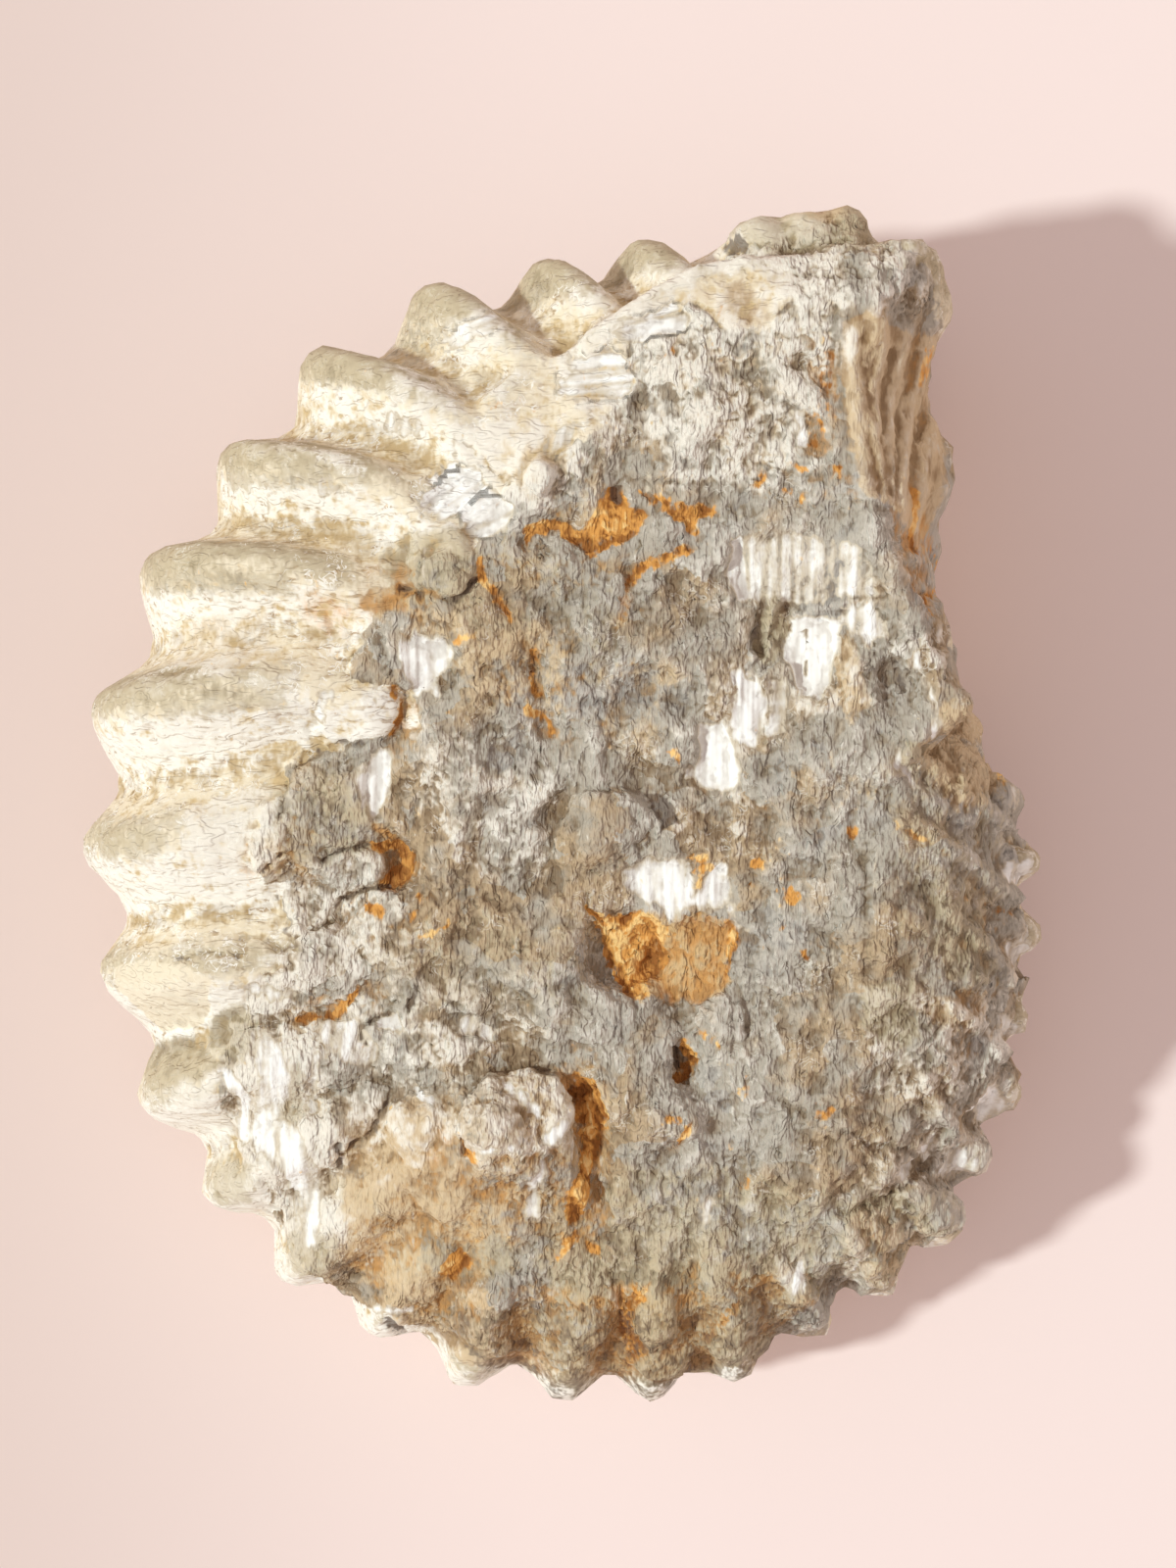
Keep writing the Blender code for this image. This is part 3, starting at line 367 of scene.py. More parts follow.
# Outlines that change the colour alone, by kind: strength, then the points in tenths
films = {
    "stain": (
        (0.6, *clayPocket),
        (0.5, -300, -531, -241, -524, -196, -565, -190, -625, -230, -647, -278, -618, -301, -578),
        (0.6, -140, -640, -40, -620, 80, -640, 190, -620, 290, -600, 340, -660, 200, -760, 0, -770, -120, -720),
        (0.95, 90, -120, 225, -130, 230, -220, 180, -250, 100, -240, 80, -170),
        (0.7, 58, -624, 117, -617, 122, -749, 72, -773),
        (0.6, 189, -646, 228, -639, 224, -739, 186, -755),
    ),
    "bloom": (
        (0.5, *leftBlock),
        (1, -151, 640, -108, 653, -72, 633, -80, 602, -121, 607),
        (0.6, *topBlock),
        (0.6, 100, 720, 340, 740, 380, 600, 300, 440, 140, 420, 80, 560),
        (0.4, -190, -340, 0, -340, 10, -440, -80, -470, -190, -440),
        (0.55, -360, -100, -240, -80, -220, -200, -340, -220),
        (0.45, 390, -220, 560, -240, 570, -360, 410, -380),
        (0.8, -140, 500, -30, 520, 40, 460, -20, 400, -120, 410),
        (0.75, -490, 20, -380, 40, -360, -20, -400, -80, -500, -60),
        (0.75, -520, 260, -400, 270, -360, 210, -440, 180, -520, 200),
        (0.6, 215, 684, 285, 713, 359, 688, 365, 631, 284, 519, 246, 594),
        (0.5, 83, 682, 209, 691, 233, 645, 158, 614, 95, 634),
        (0.5, -453, -334, -405, -298, -316, -294, -298, -425, -307, -585, -363, -606, -417, -480),
        (0.7, -450, -216, -353, -197, -316, -216, -369, -256, -447, -256),
        (0.6, -233, -256, -135, -268, -123, -320, -200, -333, -246, -308),
        (0.6, -70, 60, -19, 67, -6, 3, -58, -10),
        (0.5, 58, -590, 84, -597, 97, -652, 58, -680),
        (0.42, 82, 621, 221, 632, 347, 545, 335, 419, 209, 408, 95, 483),
        (0.4, -185, 117, -44, 117, 0, 3, -19, -87, -134, -74, -185, 15),
        (0.45, -354, -94, -296, -88, -218, -139, -225, -216, -316, -216, -367, -165),
    ),
    "tan": (
        (0.6, *lowBlock),
        (0.95, 356, 631, 390, 644, 451, 625, 507, 630, 505, 507, 489, 401, 461, 348, 432, 396, 391, 413, 372, 457,
         357, 545),
        (0.7, 478, 153, 551, 154, 571, 114, 541, 87, 500, 90),
        (0.7, 225, 807, 285, 816, 365, 824, 392, 807, 351, 760, 272, 792),
        (0.7, 202, 685, 234, 697, 252, 670, 246, 632, 214, 638),
        (0.45, -44, 231, 7, 244, 32, 181, -19, 118, -57, 156),
        (0.6, -300, -531, -241, -524, -196, -565, -192, -625, -230, -647, -278, -618, -301, -578),
        (0.6, -159, -663, -98, -650, -86, -708, -146, -731),
        (0.5, 19, -650, 84, -646, 85, -739, 32, -743),
    ),
    "olive": (
        (0.55, 455, -81, 553, -128, 584, -228, 532, -231, 456, -164),
        (0.8, 392, -223, 457, -216, 471, -295, 426, -310, 393, -275),
        (0.6, -100, -660, 0, -650, 60, -670, 160, -640, 300, -620, 380, -600, 260, -730, 20, -760),
        (0.6, -280, -500, -80, -490, -60, -620, -220, -630),
        (1, 225, 797, 298, 792, 350, 754, 431, 792, 438, 771, 349, 728, 262, 740),
        (0.8, -581, -332, -539, -303, -481, -300, -453, -328, -486, -354, -544, -371),
        (0.55, -494, -478, -446, -444, -408, -460, -416, -515, -467, -540),
        (0.6, -384, -580, -348, -548, -293, -560, -302, -601, -351, -625),
        (0.6, -387, -333, -342, -313, -331, -400, -357, -426, -384, -401),
        (0.55, -620, 187, -548, 183, -375, 168, -350, 137, -532, 124, -611, 132),
        (0.6, -620, -18, -561, -4, -506, -23, -520, -55, -605, -63),
        (0.55, -567, 334, -495, 347, -348, 314, -337, 282, -495, 285, -555, 295),
        (0.55, -467, 480, -392, 484, -311, 460, -272, 415, -364, 424, -440, 429),
        (0.6, -367, 607, -314, 634, -239, 603, -209, 548, -288, 553, -361, 574),
        (0.6, -214, 707, -168, 727, -114, 707, -121, 647, -187, 654),
        (0.6, -20, -597, 110, -584, 281, -600, 285, -731, 165, -771, 32, -777, -21, -694),
        (0.45, 84, -464, 253, -465, 281, -600, 84, -597),
        (0.9, 221, 820, 285, 824, 378, 829, 438, 793, 420, 733, 348, 720, 261, 731, 225, 773),
        (0.5, -160, -699, -99, -678, -61, -742, -115, -770, -154, -750),
        (0.5, -27, -723, 32, -706, 65, -757, 19, -792, -21, -767),
    ),
    "slate": (
        (0.8, 331, 79, 389, 89, 430, 67, 422, 3, 364, 0, 336, 35),
        (0.7, 448, 22, 481, 13, 484, -26, 455, -21),
        (0.6, -39, -216, 32, -198, 84, -268, 71, -326, -20, -320),
        (0.6, -19, 307, 57, 333, 83, 244, 159, 168, 83, 118, 19, 194),
        (0.6, -197, 117, -70, 168, -19, 92, -19, -23, -134, -49, -198, 15),
        (0.3, 82, 634, 233, 619, 334, 544, 322, 419, 184, 395, 57, 495),
        (0.5, 109, -320, 238, -333, 291, -451, 241, -586, 136, -558),
        (0.5, 134, 295, 236, 270, 236, 143, 160, 92, 134, 181),
        (0.8, 401, 225, 464, 232, 478, 169, 471, 117, 414, 117),
    ),
    "plain": (
        (0.75, -314, -477, -230, -484, -184, -602, -198, -654, -296, -563),
    ),
    "calm": (
        (0.85, 346, 644, 390, 656, 458, 639, 518, 627, 518, 387, 469, 336, 419, 390, 385, 407, 362, 457, 344, 545),
        (0.9, -609, -202, -537, -189, -483, -193, -454, -216, -457, -257, -478, -287, -505, -301, -555, -295, -579,
         -261),
        (0.5, -292, -380, -162, -359, -109, -446, -46, -542, -98, -624, -230, -640, -294, -586, -300, -480),
    ),
}

# How gradually each kind of mark fades at its edge, in millimetres
fades = {
    "rust": 0.6, "chalk": 0.9, "tan": 1.1, "dark": 0.3, "stain": 1.3, "bloom": 1.2, "olive": 1.6, "slate": 3.0,
    "plain": 0.8, "ridge": 1.3, "bare": 0.8, "calm": 1.5,
}

# Unevenness of the skin: size of the lumps in millimetres, seed, octaves, stretch
noises = {
    "wander": (7.0, 1, 3), "fine": (2.6, 2, 3), "grit": (1.3, 3, 2), "bent": (5.0, 11, 3), "slow": (16.0, 7, 2),
    "broken": (4.2, 5, 3, (1.2, 0.75, 1)), "wrinkles": (1.9, 8, 4, (0.55, 1.25, 1)), "pits": (1.7, 9),
}


def settled(body):
    # bakes the modifiers into the mesh
    bpy.context.view_layer.update()
    graph = bpy.context.evaluated_depsgraph_get()
    mesh = bpy.data.meshes.new_from_object(body.evaluated_get(graph))
    old = body.data
    body.modifiers.clear()
    body.data = mesh
    bpy.data.meshes.remove(old)


def read(mesh, name):
    values = np.empty(len(mesh.vertices) * 3, dtype=np.float32)
    mesh.vertices.foreach_get(name, values)
    return values.reshape(-1, 3).astype(float)


def write(mesh, places):
    mesh.vertices.foreach_set("co", places.astype(np.float32).ravel())
    mesh.update()


def placed(name, data):
    made = bpy.data.objects.new(name, data)
    bpy.context.scene.collection.objects.link(made)
    return made


def skinOfStone():
    # a merged copy of the solid, rounded and laid on an even grid
    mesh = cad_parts["ammonite"].data.copy()
    shape = bmesh.new()
    shape.from_mesh(mesh)
    bmesh.ops.remove_doubles(shape, verts=shape.verts, dist=stone["merge"] * mm)
    bmesh.ops.recalc_face_normals(shape, faces=shape.faces)
    shape.to_mesh(mesh)
    shape.free()
    mesh.materials.clear()
    body = placed("weathered_ammonite", mesh)
    rounding = body.modifiers.new("rounding", "SUBSURF")
    rounding.levels = rounding.render_levels = stone["roundings"]
    # rounding pulls a crest in, so the corners are moved out until the skin passes near them again
    corners = read(mesh, "co")
    cage = corners.copy()
    for _ in range(stone["pushes"]):
        graph = bpy.context.evaluated_depsgraph_get()
        rounded = read(body.evaluated_get(graph).data, "co")[:len(corners)]
        cage += stone["push"] * (corners - rounded)
        write(mesh, cage)
    grid = body.modifiers.new("grid", "REMESH")
    grid.mode = "VOXEL"
    grid.voxel_size = stone["grid"] * mm
    settled(body)
    return body


def around(mesh, values, rounds):
    # each point takes the mean of its neighbours, again and again
    edges = np.empty(len(mesh.edges) * 2, dtype=np.int32)
    mesh.edges.foreach_get("vertices", edges)
    a, b = edges.reshape(-1, 2).T
    count = len(mesh.vertices)
    share = 1 / np.maximum(np.bincount(a, minlength=count) + np.bincount(b, minlength=count), 1)
    for _ in range(rounds):
        columns = []
        for column in values.T:
            total = np.bincount(a, weights=column[b], minlength=count)
            total += np.bincount(b, weights=column[a], minlength=count)
            columns.append(total * share)
        values = np.stack(columns, 1)
    return values


def lumps(places, size, seed, octaves=1, stretch=(1, 1, 1)):
    # smooth noise of about -1 to 1, with lumps of the given size
    seedGap, roughness, finer = 7.31, 0.85, 2.1
    spots = (places / size * np.array(stretch) + seed * seedGap).tolist()
    if octaves == 1:
        return np.array([noise.noise(spot) for spot in spots])
    return np.array([noise.fractal(spot, roughness, finer, octaves) for spot in spots])


def facets(places, size, seed):
    # broken faces that meet in ridges: the lower of two slow noises
    middle = 0.25
    return np.minimum(lumps(places, size, seed), lumps(places, size * 0.8, seed + 40)) + middle


def smooth(low, high, values):
    share = np.clip((values - low) / (high - low), 0, 1)
    return share * share * (3 - 2 * share)


def patch(x, y, spot, wander, edge):
    # 1 inside one ragged patch, 0 outside
    squareness = 3.2
    along, across, turn = spot[2], spot[3], math.radians(spot[4])
    dx, dy = x - spot[0], y - spot[1]
    reach = max(along, across) * 1.8 + 2
    near = np.abs(dx) + np.abs(dy) < reach * 1.5
    mask = np.zeros(len(x))
    dx, dy, w = dx[near], dy[near], wander[near]
    u = np.abs(dx * math.cos(turn) + dy * math.sin(turn)) / along
    v = np.abs(dy * math.cos(turn) - dx * math.sin(turn)) / across
    far = (u ** squareness + v ** squareness) ** (1 / squareness) + w
    mask[near] = smooth(0, 1, (1 - far) * min(along, across) / edge + 0.5)
    return mask


def pairs(flat):
    # points in millimetres, from tenths of one
    return [(x / 10, y / 10) for x, y in zip(flat[::2], flat[1::2])]


def fromLine(x, y, points):
    # distance to a line through the points
    nearest = np.full(len(x), 1e9)
    for start, end in zip(points, points[1:]):
        ex, ey = end[0] - start[0], end[1] - start[1]
        t = np.clip(((x - start[0]) * ex + (y - start[1]) * ey) / (ex * ex + ey * ey), 0, 1)
        nearest = np.minimum(nearest, np.hypot(x - start[0] - t * ex, y - start[1] - t * ey))
    return nearest


def insideEdge(x, y, corners):
    # distance to the outline, above nought inside it
    inside = np.zeros(len(x), dtype=bool)
    for start, end in zip(corners, corners[1:] + corners[:1]):
        crosses = (start[1] > y) != (end[1] > y)
        at = start[0] + (y - start[1]) * (end[0] - start[0]) / ((end[1] - start[1]) or 1e-9)
        inside ^= crosses & (x < at)
    return np.where(inside, 1, -1) * fromLine(x, y, corners + corners[:1])


def traced(x, y, points, width, soft, wobble):
    # 1 inside an outline, or near a line that has a width, 0 outside
    margin = 2
    low, high = np.min(points, axis=0) - width - margin, np.max(points, axis=0) + width + margin
    near = (x > low[0]) & (x < high[0]) & (y > low[1]) & (y < high[1])
    mask = np.zeros(len(x))
    far = width - fromLine(x[near], y[near], points) if width else insideEdge(x[near], y[near], points)
    mask[near] = smooth(-soft, soft, far + wobble[near])
    return mask


def laid(x, y, level, wave):
    # lays the patches and the marks: paint by kind, how far each point sinks, and how the fibres run
    top, seen = smooth(0.0, 0.35, level), smooth(-0.15, 0.15, level)
    ragged = wave["fine"] * 0.12
    bx = x + wave["bent"] * 1.3 + wave["grit"] * 0.35
    by = y + wave["wander"] * 1.1 + wave["fine"] * 0.5
    paint = {kind: np.zeros(len(x)) for kind in fades}
    down = np.zeros(len(x))
    fibreTurn, usualTurn = np.full(len(x), 90.0), 80

    def add(kind, values):
        paint[kind] = np.maximum(paint[kind], values)

    for kind, spots in (("stain", stains), ("bloom", bloom), ("olive", olives)):
        for atX, atY, along, across, turn, strength in spots:
            wide = (atX, atY, along * 1.25, across * 1.25, turn)
            add(kind, strength * patch(bx, by, wide, ragged, min(along, across) * 0.9) * top)
    for spot in plates:
        down -= spot[5] * 0.7 * patch(bx, by, spot, ragged, 0.8) * top
    for spot in tan:
        add("tan", spot[5] * patch(bx, by, spot, ragged, 3.0) * top)
    for spot in chalk:
        depth, strength, turn = (*spot[5:], usualTurn)[:3]
        mask = patch(bx, by, spot, ragged * 2.2, 0.9) * top
        down += depth * mask
        fibreTurn = np.where(mask > 0.02, turn, fibreTurn)
        add("chalk", strength * mask)
    for spot in rust:
        depth, strength = spot[5:]
        mask = patch(bx, by, spot, ragged * 2, 1.3) * top
        down += depth * 0.5 * mask
        add("rust", strength * mask)
        paint["chalk"] *= 1 - 0.8 * mask
    for spot in dark:
        mask = patch(bx, by, spot, ragged, 0.7) * top
        down += 0.5 * spot[5] * mask
        add("dark", spot[5] * mask)

    wobble = wave["grit"] * 0.3 + wave["fine"] * 0.25
    mx = x + wave["bent"] * 0.6 + wave["grit"] * 0.35
    my = y + wave["wander"] * 0.6 + wave["fine"] * 0.35
    for kind, strength, height, width, *flat in marks:
        points = pairs(flat)
        mask = traced(mx, my, points, width, fades[kind], wobble) * seen
        down -= height * mask
        add(kind, strength * mask)
        if kind == "rust":
            # rust soaks into the stone around it
            halo = traced(mx, my, points, width + 0.4 if width else 0, 2.2, wobble)
            add("stain", 0.75 * strength * halo)
        if kind in ("rust", "dark"):
            paint["chalk"] *= 1 - 0.9 * mask
    for kind, rows in films.items():
        for strength, *flat in rows:
            add(kind, strength * (traced(mx, my, pairs(flat), 0, fades[kind], wobble) * seen))
    print("patches laid")
    return paint, down, np.radians(fibreTurn), top


def weathered():
    body = skinOfStone()
    mesh = body.data
    places = read(mesh, "co") / mm
    facing = read(mesh, "normal")
    x, y, z = places.T
    print("skin:", len(mesh.vertices), "points")

    broad = around(mesh, places, stone["broadRounds"])
    broadRelief = ((places - broad) * facing).sum(1)
    slope = around(mesh, facing, stone["slopeRounds"])
    level = facing[:, 2]
    # 1 on the upper side, 0 underneath; the higher a point is, the further it may lean and count as upper
    upper = smooth(-0.15, 0.25, level + (z - stone["middle"]) * 0.02)
    wave = {name: lumps(places, *row) for name, row in noises.items()}
    grit = wave["grit"]

    edge = insideEdge(x, y, pairs(rockEdge)) + wave["wander"] * 2.2 + wave["fine"] * 0.8
    fromAxis = np.hypot(x - stone["coilAxis"][0], y - stone["coilAxis"][1])
    below = stone["navel"] - fromAxis + wave["wander"] * 2 + wave["fine"]
    rock = upper * smooth(-1.3, 1.3, edge) + (1 - upper) * smooth(-1.5, 1.5, below)
    paint, down, turn, top = laid(x, y, level, wave)

    # thin beds that break off along ragged contours, and chipped faces
    ledges = np.zeros(len(x))
    for number, (size, count, height) in enumerate(stone["beds"]):
        beds = lumps(places, size, 4 + number * 20, 4, (1.1, 0.8, 0.7)) * count
        step = beds - np.floor(beds)
        ledges += height * (np.floor(beds) + smooth(0.0, 0.2, step) - beds * 0.9)
    broken = wave["broken"]
    chipped = sum(facets(places, size, 6 + number) * height
                  for number, (size, height) in enumerate(stone["facets"]))
    pits = smooth(0.42, 0.62, wave["pits"])
    lined = np.stack([x * np.sin(turn) - y * np.cos(turn),
                      (x * np.cos(turn) + y * np.sin(turn)) * 0.12, z * 0.3], 1)
    fibres = lumps(lined, 0.9, 10, 2)
    softer = 1 - np.maximum(0.75 * paint["chalk"], paint["calm"])
    rise = wave["slow"] * stone["lumps"]
    rise += rock * softer * (ledges + broken * stone["ragged"] + grit * stone["grit"]
                             + chipped - pits * 0.25)
    rise += (1 - rock) * (wave["wrinkles"] * stone["wrinkle"] + grit * 0.04 - pits * 0.15 + broken * 0.1
                          + np.clip(broadRelief, -3, 0) * stone["groove"]
                          + np.clip(broadRelief, 0, 2.5) * stone["crest"] * (0.5 + 0.5 * top))
    # the foot of the rock is undercut, here and there, and painted dark there: painted shade under the ledge
    scarp = np.exp(-(edge / 0.5) ** 2) * upper * smooth(-0.1, 0.25, wave["bent"])
    rise -= scarp * 0.45
    paint["dark"] = np.maximum(paint["dark"], 0.4 * scarp)
    rise += paint["chalk"] * fibres * stone["fibre"] * 2
    # the worn places it rests on stay flat
    rise *= smooth(*stone["rest"], z)
    print("relief worked out")

    lean = facing + np.array([0, 0, 0.7]) * top[:, None]
    lean /= np.linalg.norm(lean, axis=1)[:, None]
    moved = places + facing * rise[:, None] - lean * down[:, None]
    moved[:, 2] = np.maximum(moved[:, 2], 0)
    write(mesh, moved * mm)
    facing = read(mesh, "normal")
    fineRelief = ((moved - around(mesh, moved, stone["fineRounds"])) * facing).sum(1)

    del paint["bare"]  # these marks change the shape alone
    paint["rock"] = rock
    paint["crest"] = np.clip(broadRelief / 1.6, -1, 1)
    # above nought where the smoothed skin turns away from the light, below nought where it faces it: it paints
    # shade and highlight
    paint["shadedSide"] = np.clip(slope[:, 1] * 0.9 + slope[:, 0] * 0.25, -1, 1)
    # the fine relief, above nought on small rises and below in small hollows: it paints highlight and shade
    paint["worn"] = np.clip(fineRelief / 0.25, -1, 1)
    paint["fibreTurn"] = turn
    for name, values in paint.items():
        layer = mesh.attributes.new(name, "FLOAT", "POINT")
        layer.data.foreach_set("value", values.astype(np.float32))

    # the broken top keeps all its points; the sides and the underside are thinned, where they are flattest
    hidden = body.vertex_groups.new(name="hidden")
    hidden.add(np.flatnonzero(slope[:, 2] < stone["thinBelow"]).tolist(), 1.0, "REPLACE")
    body.modifiers.new("triangles", "TRIANGULATE")
    thinning = body.modifiers.new("thinning", "DECIMATE")
    thinning.vertex_group = "hidden"
    thinning.vertex_group_factor = 1.0
    thinning.ratio = stone["triangles"] / (2 * len(mesh.polygons))
    settled(body)
    mesh = body.data
    mesh.polygons.foreach_set("use_smooth", [True] * len(mesh.polygons))
    points = read(mesh, "co")
    points[:, 2] = np.maximum(points[:, 2], 0)  # nothing dips into what it rests on
    write(mesh, points)
    print("stone:", len(mesh.polygons), "faces")
    return body


# Colours as the eye reads them, 0 to 255
colours = {
    "cream": (240, 226, 198), "creamPale": (252, 246, 232), "creamDark": (212, 186, 140), "olive": (164, 146, 114),
    "grey": (183, 173, 156), "greyPale": (219, 210, 195), "greyDark": (145, 132, 112), "slate": (160, 155, 148),
    "brown": (188, 159, 119), "umber": (134, 108, 78), "pit": (158, 120, 70), "clay": (216, 190, 151),
    "clayDark": (166, 134, 95), "rust": (224, 160, 82), "rustPale": (252, 208, 136), "rustDark": (160, 100, 42),
    # the dark film colour below is the painted shade in the dark marks
    "ochre": (212, 172, 112), "shell": (255, 252, 244), "shellShade": (212, 198, 174), "filmAndShade": (104, 90, 80),
    "bloom": (246, 238, 222), "oliveFilm": (160, 144, 114), "oliveEdge": (200, 184, 152),
    "floor": (247, 228, 221), "floorLeft": (220, 199, 188),
}

# Noises of the finish: size in millimetres, detail, roughness, twist, stretch
clouds = {
    "coarse": (24, 0), "mottle": (6.5, 1.5), "blotch": (2.6, 2.5, 0.65),
    "grain": (0.95, 1, 0.6, 0.0, (1.3, 0.7, 1)), "dash": (1.2, 1.5, 0.6, 0.0, (0.5, 1.5, 1)),
    "wrinkle": (2.4, 2, 0.55, 0.0, (0.5, 1.25, 1)), "flake": (3.6, 2, 0.55, 0.0, (1.3, 0.65, 1)),
    "splinter": (1.5, 2, 0.6, 0.0, (1.5, 0.5, 1)), "worms": (1.5, 1, 0.55, 1.2),
}


def paintOf(name):
    # a named colour as the shader wants it
    parts = [v / 255 for v in colours[name]]
    return (*[v / 12.92 if v <= 0.04045 else ((v + 0.055) / 1.055) ** 2.4 for v in parts], 1)


class Field:
    # one socket; sums on it add Math nodes
    def __init__(self, tree, socket=None):
        self.tree, self.socket = tree, socket

    def node(self, kind, values=None, output=0, **settings):
        made = self.tree.nodes.new(kind)
        for name, value in settings.items():
            setattr(made, name, value)
        for name, value in (values or {}).items():
            if isinstance(value, Field):
                self.tree.links.new(value.socket, made.inputs[name])
            else:
                made.inputs[name].default_value = paintOf(value) if isinstance(value, str) else value
        return Field(self.tree, made.outputs[output] if made.outputs else None)

    def beside(self, output):
        # another output of the same node
        return Field(self.tree, self.socket.node.outputs[output])

    def sum(self, operation, first, second=0.0):
        return self.node("ShaderNodeMath", {0: first, 1: second}, operation=operation)

    def __add__(self, other): return self.sum("ADD", self, other)
    def __radd__(self, other): return self.sum("ADD", other, self)
    def __sub__(self, other): return self.sum("SUBTRACT", self, other)
    def __rsub__(self, other): return self.sum("SUBTRACT", other, self)
    def __mul__(self, other): return self.sum("MULTIPLY", self, other)
    def __rmul__(self, other): return self.sum("MULTIPLY", other, self)
    def __truediv__(self, other): return self.sum("DIVIDE", self, other)

    def between(self, low, high):
        # 0 below low, 1 above high, eased
        return self.node("ShaderNodeMapRange", {"Value": self, "From Min": low, "From Max": high},
                         interpolation_type="SMOOTHSTEP")

    def colour(self, first, second):
        # first where self is 0, second where it is 1: each a field or the name of a colour
        return self.node("ShaderNodeMix", {0: self, 6: first, 7: second}, 2, data_type="RGBA")

    def coat(self, values):
        shader = self.node("ShaderNodeBsdfPrincipled", values)
        self.node("ShaderNodeOutputMaterial", {"Surface": shader})


def blank(name):
    # a new material, and a field to start its nodes from
    made = bpy.data.materials.new(name)
    made.use_nodes = True
    made.node_tree.nodes.clear()
    return made, Field(made.node_tree)


def stoneFinish():
    made, start = blank("weathered limestone")
    where = start.node("ShaderNodeTexCoord", output=3)

    def mask(name):
        return start.node("ShaderNodeAttribute", output=2, attribute_type="GEOMETRY", attribute_name=name)

    def cloud(size, detail, rough=0.55, twist=0.0, stretch=None, place=where):
        # noise with lumps of the size in millimetres, turned to run from about -1 to 1
        if stretch:
            place = start.node("ShaderNodeVectorMath", {0: place, 1: stretch}, operation="MULTIPLY")
        speckle = start.node("ShaderNodeTexNoise", {
            "Vector": place, "Scale": 1000 / size, "Detail": detail, "Roughness": rough, "Distortion": twist})
        return (speckle - 0.5) * 3.4

    def terraces(field, count):
        # flat steps with short risers
        steps = field * count
        part = steps.sum("FRACT", steps)
        return (steps - part + part.between(0.0, 0.55)) / count

    coarse, mottle, blotch, grain, dash, wrinkle, flake, splinter, worms = (
        cloud(*row) for row in clouds.values())
    wrinkle, flake = terraces(wrinkle, 2.2), terraces(flake, 2.6)
    worms = 1 - worms.sum("ABSOLUTE", worms).between(0.05, 0.16)
    rim = blotch * 0.28 + grain * 0.2
    # clasts: ragged cells, each with its own chance values
    drift = start.node("ShaderNodeCombineXYZ", {0: blotch, 1: mottle, 2: blotch})
    drifted = start.node("ShaderNodeVectorMath", {0: drift, 1: (1.2 * mm,) * 3, 2: where},
                         operation="MULTIPLY_ADD")
    cells = start.node("ShaderNodeTexVoronoi", {"Vector": drifted, "Scale": 150.0}, 1)
    clast = start.node("ShaderNodeSeparateColor", {0: cells})
    shade, tint = clast - 0.5, clast.beside(1) - 0.5

    inRock, crest, shadedSide, worn, stain = (mask(name) for name in ("rock", "crest", "shadedSide", "worn", "stain"))
    rock = (inRock + blotch * 0.3 + grain * 0.12).between(0.4, 0.6)

    # the worn whorl: cream with white bloom in the hollows, olive on the ribs, flecks and brown pits, with painted
    # highlight and shade over its ribs
    # the fine relief term lightens small rises and darkens small hollows: painted highlight and shade
    tone = wrinkle * 0.25 + blotch * 0.25 + grain * 0.2 + dash * 0.15 + mottle * 0.2 + worn * 0.25
    whorl = tone.between(-0.5, 0.05).colour("creamDark", "cream")
    # white also on the rib sides turned to the light: painted highlight
    white = tone * 0.6 - shadedSide * 0.7 - crest * 0.2 + coarse * 0.15 + blotch * 0.2 + mottle * 0.1
    whorl = white.between(0.0, 0.35).colour(whorl, "creamPale")
    # olive on the rib crests, and on the rib sides turned from the light as painted shade
    olive = crest * 0.85 + shadedSide * 0.6 + mottle * 0.3 + coarse * 0.15 + blotch * 0.3 + grain * 0.2
    whorl = (olive.between(0.22, 0.7) * 0.9).colour(
        whorl, (tone * 0.8).between(-0.3, 0.35).colour("olive", "oliveEdge"))
    pitted = (1 - dash.between(-0.6, -0.2)) * (blotch + mottle * 0.6 + stain).between(-0.4, 0.6)
    whorl = (pitted * 0.7).colour(whorl, "pit")
    whorl = (worms * (blotch + mottle * 0.5).between(-0.1, 0.35)).colour(whorl, "creamPale")

    # the bare rock: grey and slate flakes, brown mottling, pale and dark grains, painted shade with some dirt in
    # the low places
    # the fine relief term lightens small rises and darkens small hollows, here and in the films below that take
    # this tone: painted highlight and shade
    tone = flake * 0.25 + splinter * 0.35 + blotch * 0.2 + mottle * 0.25 + shade * 0.35 + worn * 0.4
    bare = tone.between(-0.65, 0.0).colour("greyDark", "grey")
    bare = tone.between(0.15, 0.8).colour(bare, "greyPale")
    hue = mottle * 0.55 + coarse * 0.45 + blotch * 0.25 + tint * 0.7 - mask("slate") * 0.5
    bare = (hue.between(-0.25, 0.4) * 0.8).colour(bare, tone.between(-0.45, 0.4).colour("umber", "brown"))
    bare = ((1 - hue.between(-0.9, -0.3)) * 0.7).colour(
        bare, tone.between(-0.6, 0.6).colour("slate", "greyPale"))
    bare = (worms * (mottle * 0.6 - blotch * 0.4).between(0.1, 0.4) * 0.5).colour(bare, "bloom")
    bare = (splinter.between(0.5, 0.85) * (grain - mottle * 0.4).between(-0.2, 0.5) * 0.7).colour(bare, "bloom")
    bare = ((1 - splinter.between(-1.0, -0.6)) * 0.35).colour(bare, "umber")
    # painted shade with some dirt: umber in the hollows between ribs and ledges and on the sides facing the lower
    # edge
    hollowShadeAndDirt = ((0 - crest) * 0.8 - shadedSide * 0.4 - worn * 0.3 + mottle * 0.2 + blotch * 0.2).between(0.1, 0.9)
    bare = (hollowShadeAndDirt * 0.38).colour(bare, "umber")

